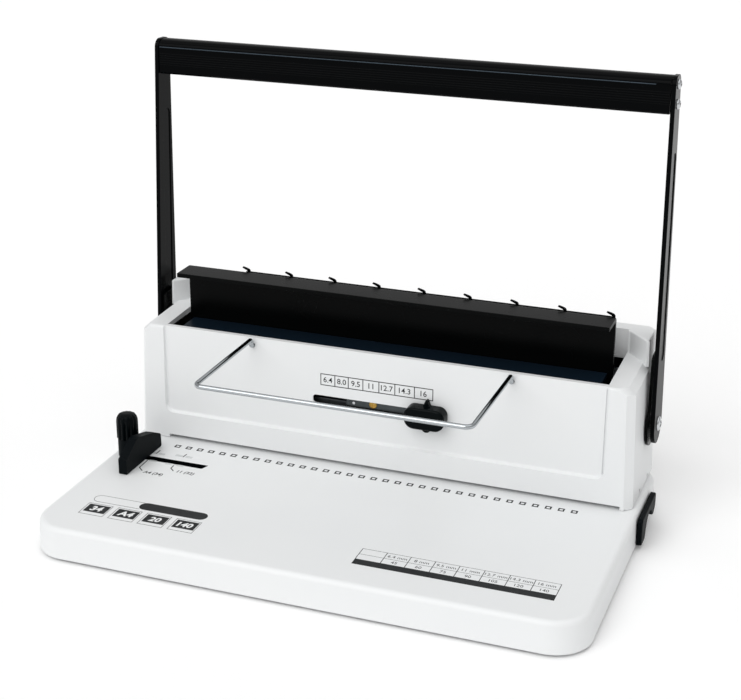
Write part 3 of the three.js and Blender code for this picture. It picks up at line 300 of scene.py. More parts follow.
def new_finish(name):
    finish = bpy.data.materials.new(name)
    finish.use_nodes = True
    tree = finish.node_tree
    tree.nodes.clear()
    place = add(tree, "ShaderNodeTexCoord").outputs["Object"]
    return finish, tree, place


def per_mm(size):
    return 1 / (size * MM)


def surface(tree, inputs):
    shader = add(tree, "ShaderNodeBsdfPrincipled", inputs)
    add(tree, "ShaderNodeOutputMaterial", {"Surface": shader.outputs["BSDF"]})


print("mid grey is", round(ink("#808080")[0], 3), "and a 0.9 mm grain has scale", round(per_mm(0.9)))

# %% [markdown]
# ### White ABS
#
# The base and the housing are injection moulded in white ABS. The tool is spark
# eroded, which leaves a fine satin grain of about 0.1 mm. That is too fine to show
# at this distance, so it is drawn at 0.9 mm. A very slow drift in tone keeps the
# broad faces from looking like paper.


# %% White ABS
def moulded_abs(name, tone, drift, rough, grain=0.9, depth=0.02):
    finish, tree, place = new_finish(name)
    slow = add(tree, "ShaderNodeTexNoise", {"Vector": place, "Scale": per_mm(90), "Detail": 2.0})
    colour = add(
        tree, "ShaderNodeMix",
        {"Factor": slow.outputs["Fac"], "A": ink(tone), "B": ink(drift)}, data_type="RGBA",
    )
    fine = add(tree, "ShaderNodeTexNoise", {"Vector": place, "Scale": per_mm(grain), "Detail": 3.0})
    satin = add(
        tree, "ShaderNodeMapRange",
        {"Value": fine.outputs["Fac"], "To Min": rough - 0.04, "To Max": rough + 0.05},
    )
    relief = add(
        tree, "ShaderNodeBump",
        {"Height": fine.outputs["Fac"], "Strength": 0.35, "Distance": depth * MM},
    )
    surface(tree, {
        "Base Color": colour.outputs["Result"], "Roughness": satin.outputs["Result"],
        "Normal": relief.outputs["Normal"], "IOR": 1.53,
    })
    return finish


white_abs = moulded_abs("white ABS, spark eroded satin", "#e9eaea", "#e5e7e8", 0.42)
print(white_abs.name)

# %% [markdown]
# ### Black enamel and black ABS
#
# The pressed steel parts carry a baked black enamel, which settles with a faint
# orange peel about 2.5 mm across. Knobs and handles are moulded in black ABS, whose
# skin ripples more slowly, so the same recipe serves with a wider peel. The haze
# that varies the gloss is 40 mm wide, as a hand's wipe leaves it. The photograph
# shows these fronts nearly black, so they reflect less than bare plastic would.


# %% Black enamel and black ABS
def black_enamel(name, tone, rough, specular, peel=2.5):
    finish, tree, place = new_finish(name)
    cells = add(tree, "ShaderNodeTexNoise", {"Vector": place, "Scale": per_mm(peel), "Detail": 1.5})
    haze = add(tree, "ShaderNodeTexNoise", {"Vector": place, "Scale": per_mm(40), "Detail": 3.0})
    satin = add(
        tree, "ShaderNodeMapRange",
        {"Value": haze.outputs["Fac"], "To Min": rough - 0.05, "To Max": rough + 0.07},
    )
    relief = add(
        tree, "ShaderNodeBump",
        {"Height": cells.outputs["Fac"], "Strength": 0.25, "Distance": 0.02 * MM},
    )
    surface(tree, {
        "Base Color": ink(tone), "Roughness": satin.outputs["Result"],
        "Normal": relief.outputs["Normal"], "Specular IOR Level": specular,
    })
    return finish


enamel = black_enamel("black enamel on steel", "#030404", 0.26, 0.055)
jaw_enamel = black_enamel("blue black enamel on steel", "#101c27", 0.3, 0.08)
black_abs = black_enamel("black ABS, polished mould", "#04080a", 0.22, 0.06, peel=4)
grained_abs = black_enamel("black ABS, grained mould", "#060b0e", 0.5, 0.05, peel=3)
print(enamel.name, "and", black_abs.name)

# %% [markdown]
# ### Black anodised aluminium
#
# The lever is black anodised aluminium, drawn through a die, so it has fine lines
# along its length: the noise is stretched 240 times longer than wide. Hands polish
# the arms near the handle, so below a given height they are duller.


# %% Black anodised aluminium
def black_anodised(name, along_axis, tone="#030405", rough=0.14, line=0.5, dull_below=0):
    finish, tree, place = new_finish(name)
    parts = add(tree, "ShaderNodeSeparateXYZ", {"Vector": place})
    handled = add(
        tree, "ShaderNodeMapRange",
        {"Value": parts.outputs["Z"], "From Min": dull_below * MM,
         "From Max": dull_below * MM * 1.5, "To Min": 0.14 if dull_below else 0.0, "To Max": 0.0},
    )
    stretch = [per_mm(line)] * 3
    stretch["xyz".index(along_axis)] = per_mm(120)
    drawn = add(tree, "ShaderNodeMapping", {"Vector": place, "Scale": stretch})
    lines = add(
        tree, "ShaderNodeTexNoise",
        {"Vector": drawn.outputs["Vector"], "Scale": 1.0, "Detail": 3.0},
    )
    satin = add(
        tree, "ShaderNodeMapRange",
        {"Value": lines.outputs["Fac"], "To Min": rough - 0.04, "To Max": rough + 0.06},
    )
    worn = add(
        tree, "ShaderNodeMath",
        {0: satin.outputs["Result"], 1: handled.outputs["Result"]}, operation="ADD",
    )
    relief = add(
        tree, "ShaderNodeBump",
        {"Height": lines.outputs["Fac"], "Strength": 0.2, "Distance": 0.01 * MM},
    )
    surface(tree, {
        "Base Color": ink(tone), "Roughness": worn.outputs["Value"],
        "Normal": relief.outputs["Normal"], "Specular IOR Level": 0.035,
    })
    return finish


anodised_up = black_anodised("black anodised aluminium, drawn upwards", "z", dull_below=110)
anodised_across = black_anodised("black anodised aluminium, drawn across", "x")
print(anodised_up.name, "and across")

# %% [markdown]
# ### Metals
#
# Metals differ in colour and in how they were worked. Rolled and zinc plated
# steel is slightly blotched, ground steel has lines one way, chrome is smooth, and
# turned brass has rings that are too fine to show. One function makes them all from
# a colour, a roughness and the size and direction of the pattern.


# %% Steel, zinc, chrome and brass
def metal(name, tone, shade, rough, grain, stretch=(1, 1, 1), spread=0.08, depth=0.006):
    finish, tree, place = new_finish(name)
    worked = add(tree, "ShaderNodeMapping", {"Vector": place, "Scale": stretch})
    marks = add(
        tree, "ShaderNodeTexNoise",
        {"Vector": worked.outputs["Vector"], "Scale": per_mm(grain), "Detail": 3.0},
    )
    colour = add(
        tree, "ShaderNodeMix",
        {"Factor": marks.outputs["Fac"], "A": ink(tone), "B": ink(shade)}, data_type="RGBA",
    )
    polish = add(
        tree, "ShaderNodeMapRange",
        {"Value": marks.outputs["Fac"], "To Min": rough, "To Max": rough + spread},
    )
    relief = add(
        tree, "ShaderNodeBump",
        {"Height": marks.outputs["Fac"], "Strength": 0.2, "Distance": depth * MM},
    )
    surface(tree, {
        "Base Color": colour.outputs["Result"], "Metallic": 1.0,
        "Roughness": polish.outputs["Result"], "Normal": relief.outputs["Normal"],
    })
    return finish


zinc_plate = metal("zinc plated sheet steel", "#aeb2b6", "#979ca1", 0.3, 6)
ground_steel = metal("ground steel", "#8f9396", "#7b7f82", 0.28, 0.6, (0.05, 1, 1))
dark_steel = metal("dark rolled steel", "#55595b", "#3d4142", 0.3, 3, (0.3, 1, 1))
screw_zinc = metal("bright zinc plated screw", "#d0d2d4", "#b9bcbf", 0.2, 1.2)
chrome = metal("polished chrome on wire", "#b9bdc0", "#a9aeb1", 0.09, 8, spread=0.03, depth=0.001)
brass = metal("turned brass", "#c9a557", "#a88643", 0.24, 1.0)
# The last metal is a lighter grey than the black anodising: a painted highlight along the handle
# bar's front top edge.
painted_highlight_metal = metal("grey metal bead, a painted highlight on the handle", "#3e464d", "#2c3339", 0.25, 2)
print(zinc_plate.name, "and the other metals")

# %% [markdown]
# ### Rubber and ink
#
# Rubber feet are dull. The marks on the deck are screen printed in black ink, and
# the figures on the black fields are printed in white. Ink lies in a film that is
# slightly uneven, so its tone drifts a little.


# %% Rubber and printing ink
def dull(name, tone, drift, rough, grain):
    finish, tree, place = new_finish(name)
    marks = add(
        tree, "ShaderNodeTexNoise", {"Vector": place, "Scale": per_mm(grain), "Detail": 4.0},
    )
    colour = add(
        tree, "ShaderNodeMix",
        {"Factor": marks.outputs["Fac"], "A": ink(tone), "B": ink(drift)}, data_type="RGBA",
    )
    satin = add(
        tree, "ShaderNodeMapRange",
        {"Value": marks.outputs["Fac"], "To Min": rough - 0.05, "To Max": rough + 0.05},
    )
    surface(tree, {
        "Base Color": colour.outputs["Result"], "Roughness": satin.outputs["Result"],
        "Specular IOR Level": 0.3,
    })
    return finish


rubber = dull("black rubber", "#161718", "#1e1f20", 0.8, 3)
black_ink = dull("black screen ink", "#0d1012", "#15191b", 0.5, 5)
grey_ink = dull("pale grey screen ink", "#c3c6c6", "#b4b8b8", 0.5, 2)
white_ink = dull("white screen ink", "#f0f1f1", "#e8eaea", 0.5, 5)
print("finishes in all:", len(bpy.data.materials))

# %% [markdown]
# ## Base tray
#
# The base is one shallow white tray, open below, with generous corners and a soft
# top edge. It is a rounded outline pulled up 20.7 mm. Its walls lean in a little so
# that it leaves the mould. A smaller copy of the same shape is cut out from below,
# then come the guide's slot, the window over the dies and the drawer's mouth.

# %% Tray shape
RIM, DECK = 2.0, 22.7
HALF_W, HALF_D = 178.2, 112.0
TRAY_WALL, TRAY_CORNER, TRAY_DRAFT = 2.6, 24, 0.6


def lean_in(bm, levels, half_width, draft, middle=0, half_depth=None, draft_depth=0):
    low, high = levels
    for v in bm.verts:
        share = (v.co.z / MM - low) / (high - low)
        v.co.x *= 1 - draft * share / half_width
        if half_depth:
            v.co.y = middle * MM + (v.co.y - middle * MM) * (1 - draft_depth * share / half_depth)
    return bm


def tray_shape(inset, levels, edge):
    w, d = HALF_W - inset, HALF_D - inset
    corner = TRAY_CORNER - inset / 2
    bm = prism(box_plan(-w, w, -d, d), "z", levels, every_corner(corner), 14)
    if edge:
        soften(bm, rim("z", levels[1]), edge, 6)
    return lean_in(bm, (RIM, DECK), HALF_W, TRAY_DRAFT, 0, HALF_D, TRAY_DRAFT)


print("tray", 2 * HALF_W, "by", 2 * HALF_D, "mm")

# %% Base tray
THROUGH_DECK = (18, 25)
base = solid("base_tray_moulding", tray_shape(0, (RIM, DECK), 3.6))
combine(base, tray_shape(TRAY_WALL, (-8, DECK - TRAY_WALL), 0))
slot_plan = [(-171.5, -2), (-109.2, -2), (-107.2, 4), (-171.5, 4)]
guide_slot = prism(slot_plan, "z", THROUGH_DECK, {0: 1.2, 1: 0.8, 3: 1.2}, 4)
die_window = block((-168.1, 168.1), (41.7, 68.4), THROUGH_DECK)
drawer_mouth = block((174.5, 180), (33, 74), (3.6, 17))
for opening in (guide_slot, die_window, drawer_mouth):
    combine(base, opening)
finish_piece(base, white_abs, "frame", "white_abs", "base_tray", ease=0.35)

# %% [markdown]
# ### Sleeve in the guide's slot
#
# The guide's slot has a pointed right end and looks black from above, while the
# moulding's own walls would show white. A thin black sleeve stands just inside it.
# It is a prism of the slot's outline with a smaller one cut out of it.

# %% Sleeve
sleeve_plan = [(-171.4, -1.95), (-109.2, -1.95), (-107.3, 3.95), (-171.4, 3.95)]
inside_plan = [(-171.1, -1.65), (-109.4, -1.65), (-107.7, 3.65), (-171.1, 3.65)]
sleeve = solid("guide_slot_sleeve", prism(sleeve_plan, "z", (18.4, 22.6), {0: 1.2, 3: 1.2}, 4))
combine(sleeve, prism(inside_plan, "z", (17, 24), {0: 1.0, 3: 1.0}, 4))
finish_piece(sleeve, black_abs, "frame", "black_plastic", ease=0)

# %% [markdown]
# ## Housing
#
# The housing is the white shell over the works. It starts as a body with chamfered
# corners that leans in as it rises, and whose top edge falls towards the front. The
# raised rear wall with its slanted ends is joined on, and the inside is hollowed.
# Joining and cutting plain prisms keeps each step easy to read and to change.

# %% Housing body
FOOT, TOP, RIDGE = 23.0, 107.5, 122.5
FRONT, REAR = 36.2, 110.0
SHELL_HALF, SHELL_LEAN, DEPTH_LEAN = 173.0, 3.2, 1.0
FALL, FALL_STARTS = 2.4, TOP - 6


def leaning(bm):
    middle, half = (FRONT + REAR) / 2, (REAR - FRONT) / 2
    return lean_in(bm, (FOOT, TOP), SHELL_HALF, SHELL_LEAN, middle, half, DEPTH_LEAN)


shell_plan = box_plan(-SHELL_HALF, SHELL_HALF, FRONT, REAR)
body = prism(shell_plan, "z", (FOOT, TOP), {0: 2, 1: 5, 2: 5, 3: 5}, 1)
top_edge, lengthwise = rim("z", TOP), along("x")
soften(body, lambda e: top_edge(e) and not lengthwise(e), 4.2, 1)
soften(body, lambda e: top_edge(e) and lengthwise(e), 1.6, 4)
for v in body.verts:
    if v.co.z > FALL_STARTS * MM:
        v.co.z -= FALL * (REAR * MM - v.co.y) / (REAR - FRONT)
housing = solid("housing_moulding", leaning(body))
print("housing body:", len(housing.data.polygons), "faces")

# %% Rear wall and hollow
RIDGE_FRONT, RIDGE_HALF, HORN_FRONT = 96, 157.4, 79.4
ridge_plan = [
    (-SHELL_HALF, REAR), (-SHELL_HALF, HORN_FRONT), (-RIDGE_HALF, RIDGE_FRONT),
    (RIDGE_HALF, RIDGE_FRONT), (SHELL_HALF, HORN_FRONT), (SHELL_HALF, REAR),
]
ridge = prism(ridge_plan, "z", (104.5, RIDGE), {0: 5, 1: 2.6, 4: 2.6, 5: 5}, 1)
soften(ridge, rim("z", RIDGE), 1.2, 4)
combine(housing, leaning(ridge), "UNION")
inner = prism(box_plan(-170.2, 170.2, 41.5, 107.2), "z", (15, 103.4), every_corner(3), 6)
combine(housing, lean_in(inner, (FOOT, TOP), SHELL_HALF, SHELL_LEAN))
print("housing shell:", len(housing.data.polygons), "faces")

# %% [markdown]
# ### Trough and front panel
#
# The closing bar comes down in a trough with lips that hang inside it. The front
# carries a sunken panel. Its cutter is larger in front than behind, so the panel's
# walls slope, and the cutter's rear edges are bevelled, which leaves a soft fillet
# round the panel. A thin line runs down its right side.

# %% Trough and panel
lips = block((-154.9, 154.9), (41.2, 99.5), (102.3, 105.1))
combine(housing, lips, "UNION")
TROUGH_HALF, TROUGH_FRONT, TROUGH_REAR = 152.9, 41.8, 97.5
trough = block((-TROUGH_HALF, TROUGH_HALF), (TROUGH_FRONT, TROUGH_REAR), (90, 125))
combine(housing, trough)

PANEL, PANEL_HALF, PANEL_FOOT, AHEAD = 38.7, 154.0, 42.4, 30
LEFT_FLARE, RIGHT_FLARE, FOOT_FLARE = 1.036, 1.004, 4.2
panel_plan = box_plan(-PANEL_HALF, PANEL_HALF, PANEL_FOOT, 130)
recess = prism(panel_plan, "y", (AHEAD, PANEL), {0: 6, 1: 6}, 8)
for v in recess.verts:
    if v.co.y < (AHEAD + 1) * MM:
        v.co.x *= LEFT_FLARE if v.co.x < 0 else RIGHT_FLARE
        v.co.z -= FOOT_FLARE * MM if v.co.z < 60 * MM else 0
soften(recess, rim("y", PANEL), 1.4, 5)
combine(housing, recess)
side_line = block((152.2, 153.1), (38, 39.5), (45, 103))
combine(housing, side_line)
print("with its trough and panel:", len(housing.data.polygons), "faces")

# %% [markdown]
# ### Openings in the housing
#
# Sheets go in through a long throat under the panel. The selector moves in a slot,
# with room for its slider behind. The lever's shaft leaves through both sides, two
# sunk screws hold each side, and the rack's ends enter two holes in the panel.
# After so many cuts the mesh has slivers, so tiny edges and flat joins are
# dissolved, and the count of open edges has to be zero.

# %% Openings
PIVOT_Y, PIVOT_Z = 85.0, 65.0
RACK_LEFT, RACK_RIGHT, RACK_PLUG_Z = -88.2, 91.4, 99.6
BOTH_SIDES, PANEL_DEPTH = (-180, 180), (AHEAD, 42.5)
COVER_SCREW_Z = 25.7
selector_plan = box_plan(-45, 44, 64.6, 70.6)
openings = {
    "throat for the sheets": block((-152.5, 165.5), PANEL_DEPTH, (20, 25.4)),
    "notch at the right foot": block((168.2, 172.6), (35, 37.6), (22, 23.9)),
    "selector slot": prism(selector_plan, "y", (AHEAD, 45), every_corner(2.4), 6),
    "room for the slider": block((-93, 52), (39.9, 42.5), (59, 77)),
    "lever shaft": rod(7, "x", BOTH_SIDES, (PIVOT_Y, PIVOT_Z), 48),
    "front cover screws": rod(1.5, "x", BOTH_SIDES, (62.7, COVER_SCREW_Z), 20),
    "rear cover screws": rod(1.5, "x", BOTH_SIDES, (88.0, COVER_SCREW_Z), 20),
    "left end of the rack": rod(1.85, "y", PANEL_DEPTH, (RACK_LEFT, RACK_PLUG_Z), 24),
    "right end of the rack": rod(1.85, "y", PANEL_DEPTH, (RACK_RIGHT, RACK_PLUG_Z), 24),
}
for opening in openings.values():
    combine(housing, opening)
print("openings cut:", ", ".join(openings))

# %% Clean the shell
shell = bmesh.new()
shell.from_mesh(housing.data)
bmesh.ops.dissolve_degenerate(shell, edges=shell.edges, dist=0.01 * MM)
bmesh.ops.dissolve_limit(
    shell, angle_limit=math.radians(0.4), verts=shell.verts, edges=shell.edges
)
print("housing edges left open:", sum(not e.is_manifold for e in shell.edges))
shell.to_mesh(housing.data)
shell.free()
finish_piece(
    housing, white_abs, "frame", "white_abs", "housing_cover", ease=0.5, flat_above=400
)

# %% [markdown]
# ## Closing bar and lower jaw
#
# The closing bar is a steel angle, bent from 3 mm plate. Its section is an L, with a
# larger round outside the bend than inside, pulled along the whole width. The lower
# jaw is a flat plate with two notches for the wire rack's sockets. A thin black
# liner stands round the trough, so that its walls look black from above.

# %% Closing bar
PLATE = 3.0
FLANGE_FRONT, FLANGE_TOP = 50.7, 139.3
WEB_REAR, WEB_FOOT = 72.2, 69.0
web_front, flange_low = WEB_REAR - PLATE, FLANGE_TOP - PLATE
angle_section = [
    (FLANGE_FRONT, flange_low), (web_front, flange_low), (web_front, WEB_FOOT),
    (WEB_REAR, WEB_FOOT), (WEB_REAR, FLANGE_TOP), (FLANGE_FRONT, FLANGE_TOP),
]
bar = solid("closing_bar_angle", prism(angle_section, "x", (-149.2, 149.2), {1: 1.5, 4: 3}, 6))
finish_piece(bar, enamel, "closer", "black_paint", "closing_bar", ease=0.35)

# %% Lower jaw and trough liner
JAW_LOW, JAW_TOP, NOTCH_HALF = 99, 102, 4.5
jaw = solid("lower_jaw_plate", block((-146, 146), (42.5, 68.6), (JAW_LOW, JAW_TOP)))
for x in (RACK_LEFT, RACK_RIGHT):
    notch = block((x - NOTCH_HALF, x + NOTCH_HALF), (40, 51), (JAW_LOW - 1, JAW_TOP + 1))
    combine(jaw, notch)
finish_piece(jaw, jaw_enamel, "frame", "black_paint", "lower_jaw", ease=0.3)

liner = solid("trough_liner", block((-152.8, 152.8), (41.9, 97.4), (95.2, 101.9)))
combine(liner, block((-152.4, 152.4), (42.3, 97.0), (90, 110)))
finish_piece(liner, enamel, "frame", "black_paint", ease=0)

# %% [markdown]
# ## Hook strip
#
# Nine thin claws stand on a strip behind the closing bar and curl to the left, so
# that the loops of a wire can be hung on them. One claw is drawn as a front
# outline, and one loop repeats it every 31.55 mm.


# %% Gathering and moving meshes
def gathered(*parts):
    whole = parts[0]
    for part in parts[1:]:
        step = bpy.data.meshes.new("step")
        part.to_mesh(step)
        part.free()
        whole.from_mesh(step)
        bpy.data.meshes.remove(step)
    return whole


def moved(bm, matrix):
    bmesh.ops.transform(bm, matrix=matrix, verts=bm.verts)
    if matrix.determinant() < 0:
        bmesh.ops.reverse_faces(bm, faces=bm.faces)
    return bm


print("gathering tools ready")

# %% Hook strip
CLAWS, CLAW_PITCH = 9, 31.55
claw = [(148.1, 129.3), (148.1, 139.4), (147.4, 140.5), (145.4, 141.3), (142.7, 141.9),
        (142.3, 141.1), (144.4, 140.1), (145.9, 139.5), (146.4, 138.6), (146.4, 129.3)]
first = prism(claw, "y", (72.55, 73.65), {1: 0.7, 2: 0.5, 3: 1.0, 6: 1.0, 7: 0.5, 8: 0.4}, 3)
claws = bmesh.new()
for i in range(CLAWS):
    claws = gathered(claws, moved(first.copy(), Matrix.Translation(at(-CLAW_PITCH * i, 0, 0))))
first.free()
strip = block((-107.4, 147.4), (72.6, 73.6), (116.3, 138.9))
hooks = solid("hook_strip_claws", gathered(strip, claws))
finish_piece(hooks, enamel, "closer", "black_paint", "hook_strip", ease=0)

# %% [markdown]
# ## Lever arms
#
# The lever is two flat aluminium arms with a long shallow groove on each face. One
# arm is drawn upright at the origin and mirrored for the other side. One matrix
# then leans each arm back 1.1 degrees and in 0.97 degrees and sets it on the pivot.

# %% Lever arm shape
PIVOT = at(0, PIVOT_Y, PIVOT_Z)
BACK, INWARD = math.radians(1.1), math.radians(0.97)
ARM_X, ARM_LENGTH, ARM_THICK = 175.2, 226.2, 2.8
FOOT_R, TIP_HALF = 13, 8.2
GROOVE_DEPTH = 0.6
leaning_back = Matrix.Translation(PIVOT) @ Matrix.Rotation(-BACK, 4, "X")


def arm_place(sign):
    return leaning_back @ Matrix.Translation(at(sign * ARM_X, 0, 0)) @ Matrix.Rotation(
        -sign * INWARD, 4, "Y"
    )


def arm_shape():
    plan = [(-FOOT_R, 0), (-FOOT_R, -FOOT_R), (FOOT_R, -FOOT_R), (FOOT_R, 0),
            (TIP_HALF, ARM_LENGTH), (-TIP_HALF, ARM_LENGTH)]
    return prism(plan, "x", (0, ARM_THICK), {1: 12.9, 2: 12.9, 4: 5.5, 5: 5.5}, 10)


def groove_cutter(x0, x1):
    return prism(box_plan(-3.2, 6.6, 43, 178), "x", (x0, x1), every_corner(4.6), 8)


print("arm", ARM_LENGTH, "mm from pivot to tip")


# %% Lever arms
def mirrored(bm):
    return moved(bm, Matrix.Scale(-1, 4, (1, 0, 0)))


for side, sign in (("left", -1), ("right", 1)):
    shape = arm_shape()
    arm = solid(f"lever_arm_bar_{side}", shape if sign > 0 else mirrored(shape))
    for x0, x1 in ((-1, GROOVE_DEPTH), (ARM_THICK - GROOVE_DEPTH, 4)):
        tool = groove_cutter(x0, x1)
        combine(arm, tool if sign > 0 else mirrored(tool))
    arm.data.transform(arm_place(sign))
    finish_piece(
        arm, anodised_up, "lever", "black_anodised", f"lever_arm_{side}", ease=0.35, steps=3
    )

# %% [markdown]
# ## Lever plates
#
# Between each arm's foot and the housing lies a stamped black plate: a disc round
# the shaft with a straight strip up from it. A short rod and a strip are joined.

# %% Lever plates
PLATE_SPAN, DISC_R, STRIP_HALF = (172.27, 174.07), 15, 9
for side, sign in (("left", -1), ("right", 1)):
    disc = rod(DISC_R, "x", PLATE_SPAN, (0, 0), 64)
    plate = solid(f"lever_plate_stamping_{side}", disc)
    strip = prism(box_plan(-STRIP_HALF, STRIP_HALF, -3, 49), "x", PLATE_SPAN, {2: 3, 3: 3}, 6)
    combine(plate, strip, "UNION")
    move = Matrix.Translation(PIVOT)
    plate.data.transform(move if sign > 0 else Matrix.Scale(-1, 4, (1, 0, 0)) @ move)
    if sign < 0:
        plate.data.flip_normals()
    finish_piece(plate, enamel, "lever", "black_paint", f"lever_plate_{side}", ease=0.25)

# %% [markdown]
# ## Handle bar
#
# The handle is an aluminium extrusion between the arms' upper ends, with a crowned
# top, six shallow grooves down the front and the back, and a hollow. An extrusion is
# one section pulled out, so only the section is drawn. A thin painted highlight runs
# along its front top edge: a fine bead of lighter grey metal laid along it.

# %% Handle bar section
BAR_LOW, BAR_SIDE, CROWN, BAR_HALF = 203.2, 221.6, 4.4, 8.1
GROOVES, PITCH, CUT_IN, CHAMFER = 6, 1.5, 0.2, 1.2
bar_reach = ARM_X - math.tan(INWARD) * ARM_LENGTH - 0.3
crown = [(BAR_HALF, BAR_SIDE)] + [
    (BAR_HALF * math.cos(t), BAR_SIDE + CROWN * math.sin(t))
    for t in (math.pi * k / 16 for k in range(1, 16))
] + [(-BAR_HALF, BAR_SIDE)]
front_line = [(-BAR_HALF, BAR_SIDE - 1.6)]
for k in range(GROOVES):
    z = BAR_SIDE - 4.2 - k * PITCH
    front_line += [
        (-BAR_HALF, z), (-BAR_HALF + CUT_IN, z - PITCH * 0.3), (-BAR_HALF, z - PITCH * 0.6),
    ]
rear_line = [(-a, b) for a, b in reversed(front_line)]
bar_foot = [
    (-BAR_HALF, BAR_LOW + CHAMFER), (-BAR_HALF + CHAMFER, BAR_LOW),
    (BAR_HALF - CHAMFER, BAR_LOW), (BAR_HALF, BAR_LOW + CHAMFER),
]
section = crown + front_line + bar_foot + rear_line
print("handle bar half length", round(bar_reach, 2), "mm")

# %% Handle bar and its painted highlight
handle = solid("handle_bar_extrusion", prism(section, "x", (-bar_reach, bar_reach)))
hollow = block((-bar_reach - 1, bar_reach + 1), (-5.6, 5.6), (210.3, 214.5))
combine(handle, hollow)
handle.data.transform(leaning_back)
finish_piece(handle, anodised_across, "lever", "black_anodised", "handle_bar", ease=0, angle=25)
# A thin bead of lighter grey metal along the front top edge is a painted highlight, not a feature of
# the bar.
bead_span, bead_centre = (-bar_reach + 0.5, bar_reach - 9), (-BAR_HALF + 0.2, BAR_SIDE - 0.5)
bead = rod(0.42, "x", bead_span, bead_centre, 12)
painted_highlight_bead = solid("handle_bar_painted_highlight", moved(bead, leaning_back))
finish_piece(painted_highlight_bead, painted_highlight_metal, "lever", "black_anodised", ease=0, angle=60)

# %% [markdown]
# ## Screws
#
# Every visible screw is a zinc plated pan head with a cross. Screws are turned on a
# lathe, so the head's half profile is spun once round, and a plus sign is cut into
# it. The same function serves the lever's screws and the small brass one in the
# panel.


# %% Lathe work
def turned(profile, steps=32):
    bm = bmesh.new()
    line = [bm.verts.new(at(r, 0, h)) for r, h in profile]
    edges = [bm.edges.new(pair) for pair in zip(line, line[1:])]
    bmesh.ops.spin(
        bm, geom=line + edges, cent=(0, 0, 0), axis=(0, 0, 1), angle=2 * math.pi,
        steps=steps, use_merge=True,
    )
    bmesh.ops.remove_doubles(bm, verts=bm.verts, dist=1e-6)
    bmesh.ops.recalc_face_normals(bm, faces=bm.faces)
    return bm


def pan_head(radius, height, cross=1.0, depth=0.9):
    arc = [(radius * math.cos(t), height * math.sin(t) ** 0.8)
           for t in (math.pi / 2 * k / 8 for k in range(9))]
    head = solid("head", turned([(0, -0.6), (radius * 0.4, -0.6), (radius * 0.4, 0)] + arc, 40))
    arm, h = radius * 0.58, cross / 2
    plus = [(h, h), (arm, h), (arm, -h), (h, -h), (h, -arm), (-h, -arm),
            (-h, -h), (-arm, -h), (-arm, h), (-h, h), (-h, arm), (h, arm)]
    combine(head, prism(plus, "z", (height - depth, height + 1)))
    return head


print("screw tools ready")

# %% Screws of the lever
BAR_SCREW_R, PIVOT_SCREW_R, SEAT = 3.2, 4.8, 3.0
turn_out = Matrix.Rotation(math.pi / 2, 4, "Y")
lever_screws = [
    ("bar_screw", 1, 208.6, BAR_SCREW_R, 1.7),
    ("bar_screw", 2, 220.8, BAR_SCREW_R, 1.7),
    ("pivot_screw", 0, 0, PIVOT_SCREW_R, 1.8),
]
for side, sign in (("left", -1), ("right", 1)):
    for kind, number, up, radius, height in lever_screws:
        head = pan_head(radius, height, 1.1 if number else 1.5)
        node = f"{kind}_{side}_{number}" if number else f"{kind}_{side}"
        head.name = node + "_head"
        spin_it = Matrix.Rotation(math.radians(25 + 40 * number), 4, "Z")
        out = turn_out if sign > 0 else turn_out.inverted()
        seat = Matrix.Translation(at(sign * SEAT, 0, up))
        head.data.transform(arm_place(sign) @ seat @ out @ spin_it)
        finish_piece(head, screw_zinc, "lever", "screw_steel", node, ease=0, angle=35)

# %% [markdown]
# ## Selector
#
# The selector sets how far the closing bar goes down. Through a slot in the panel
# one sees a dark steel slider, a brass screw and a rivet. Their heads are turned
# upright, then one matrix lays them down to face the front.


# %% Slider, rivet and brass screw
def facing_front(x, y, z):
    return Matrix.Translation(at(x, y, z)) @ Matrix.Rotation(math.pi / 2, 4, "X")


SLIDER_FRONT = 41.3
slider = solid("selector_slider_plate", block((-22, 48), (SLIDER_FRONT, 43.1), (61, 75)))
finish_piece(slider, dark_steel, "selector", "zinc_plate", "selector_slider", ease=0.2)

screw = pan_head(2.8, 1.0, 0.7, 0.5)
screw.name = "selector_screw_head"
screw.data.transform(facing_front(-3, 41.2, 68))
finish_piece(screw, brass, "selector", "brass", "selector_screw", ease=0, angle=35)

rivet_profile = [(0, -0.6), (1.3, -0.6), (1.3, 0), (1.0, 0.5), (0, 0.7)]
rivet = solid("selector_rivet_head", turned(rivet_profile, 24))
rivet.data.transform(facing_front(-16.5, 41.2, 67.5))
finish_piece(rivet, screw_zinc, "selector", "screw_steel", ease=0, angle=35)

# %% [markdown]
# ### Selector knob
#
# The knob in front is a black block with well rounded ends, a pointer up to the
# scale and a small nub below. Its outline is pulled out 9.2 mm and its front edge is
# rounded. The pointer, the nub and the neck through the slot are joined to it.

# %% Selector knob
KNOB_FRONT, KNOB_REAR, SLOT_REACH = 28.9, 38.1, 38.3
knob_plan = box_plan(22.2, 49.6, 60.4, 75.4)
knob = prism(knob_plan, "y", (KNOB_FRONT, KNOB_REAR), {0: 6.6, 1: 6.6, 2: 5.6, 3: 5.6}, 8)
soften(knob, rim("y", KNOB_FRONT), 1.6, 5)
oval = solid("selector_knob_moulding", knob)
pointer_plan = [(33.0, 73.5), (39.0, 73.5), (36.6, 79.4), (35.4, 79.4)]
pointer = prism(pointer_plan, "y", (34.6, SLOT_REACH), {2: 0.4, 3: 0.4}, 3)
nub = rod(3.2, "y", (34.8, SLOT_REACH), (36, 59.9), 32)
neck = block((31, 41), (35, 41.1), (65.9, 70.1))
for part in (pointer, nub, neck):
    combine(oval, part, "UNION")
finish_piece(oval, black_abs, "selector", "black_plastic", "selector_knob", ease=0.3)

# %% [markdown]
# ## Wire rack
#
# The rack holds sheets while the spine is threaded. It is one chromed wire, 3.2 mm
# thick, bent to a U, whose ends hook down and enter the panel. Its round section is
# run along each leg and swung through each quarter bend with the spin operator, as
# on a bending bench.


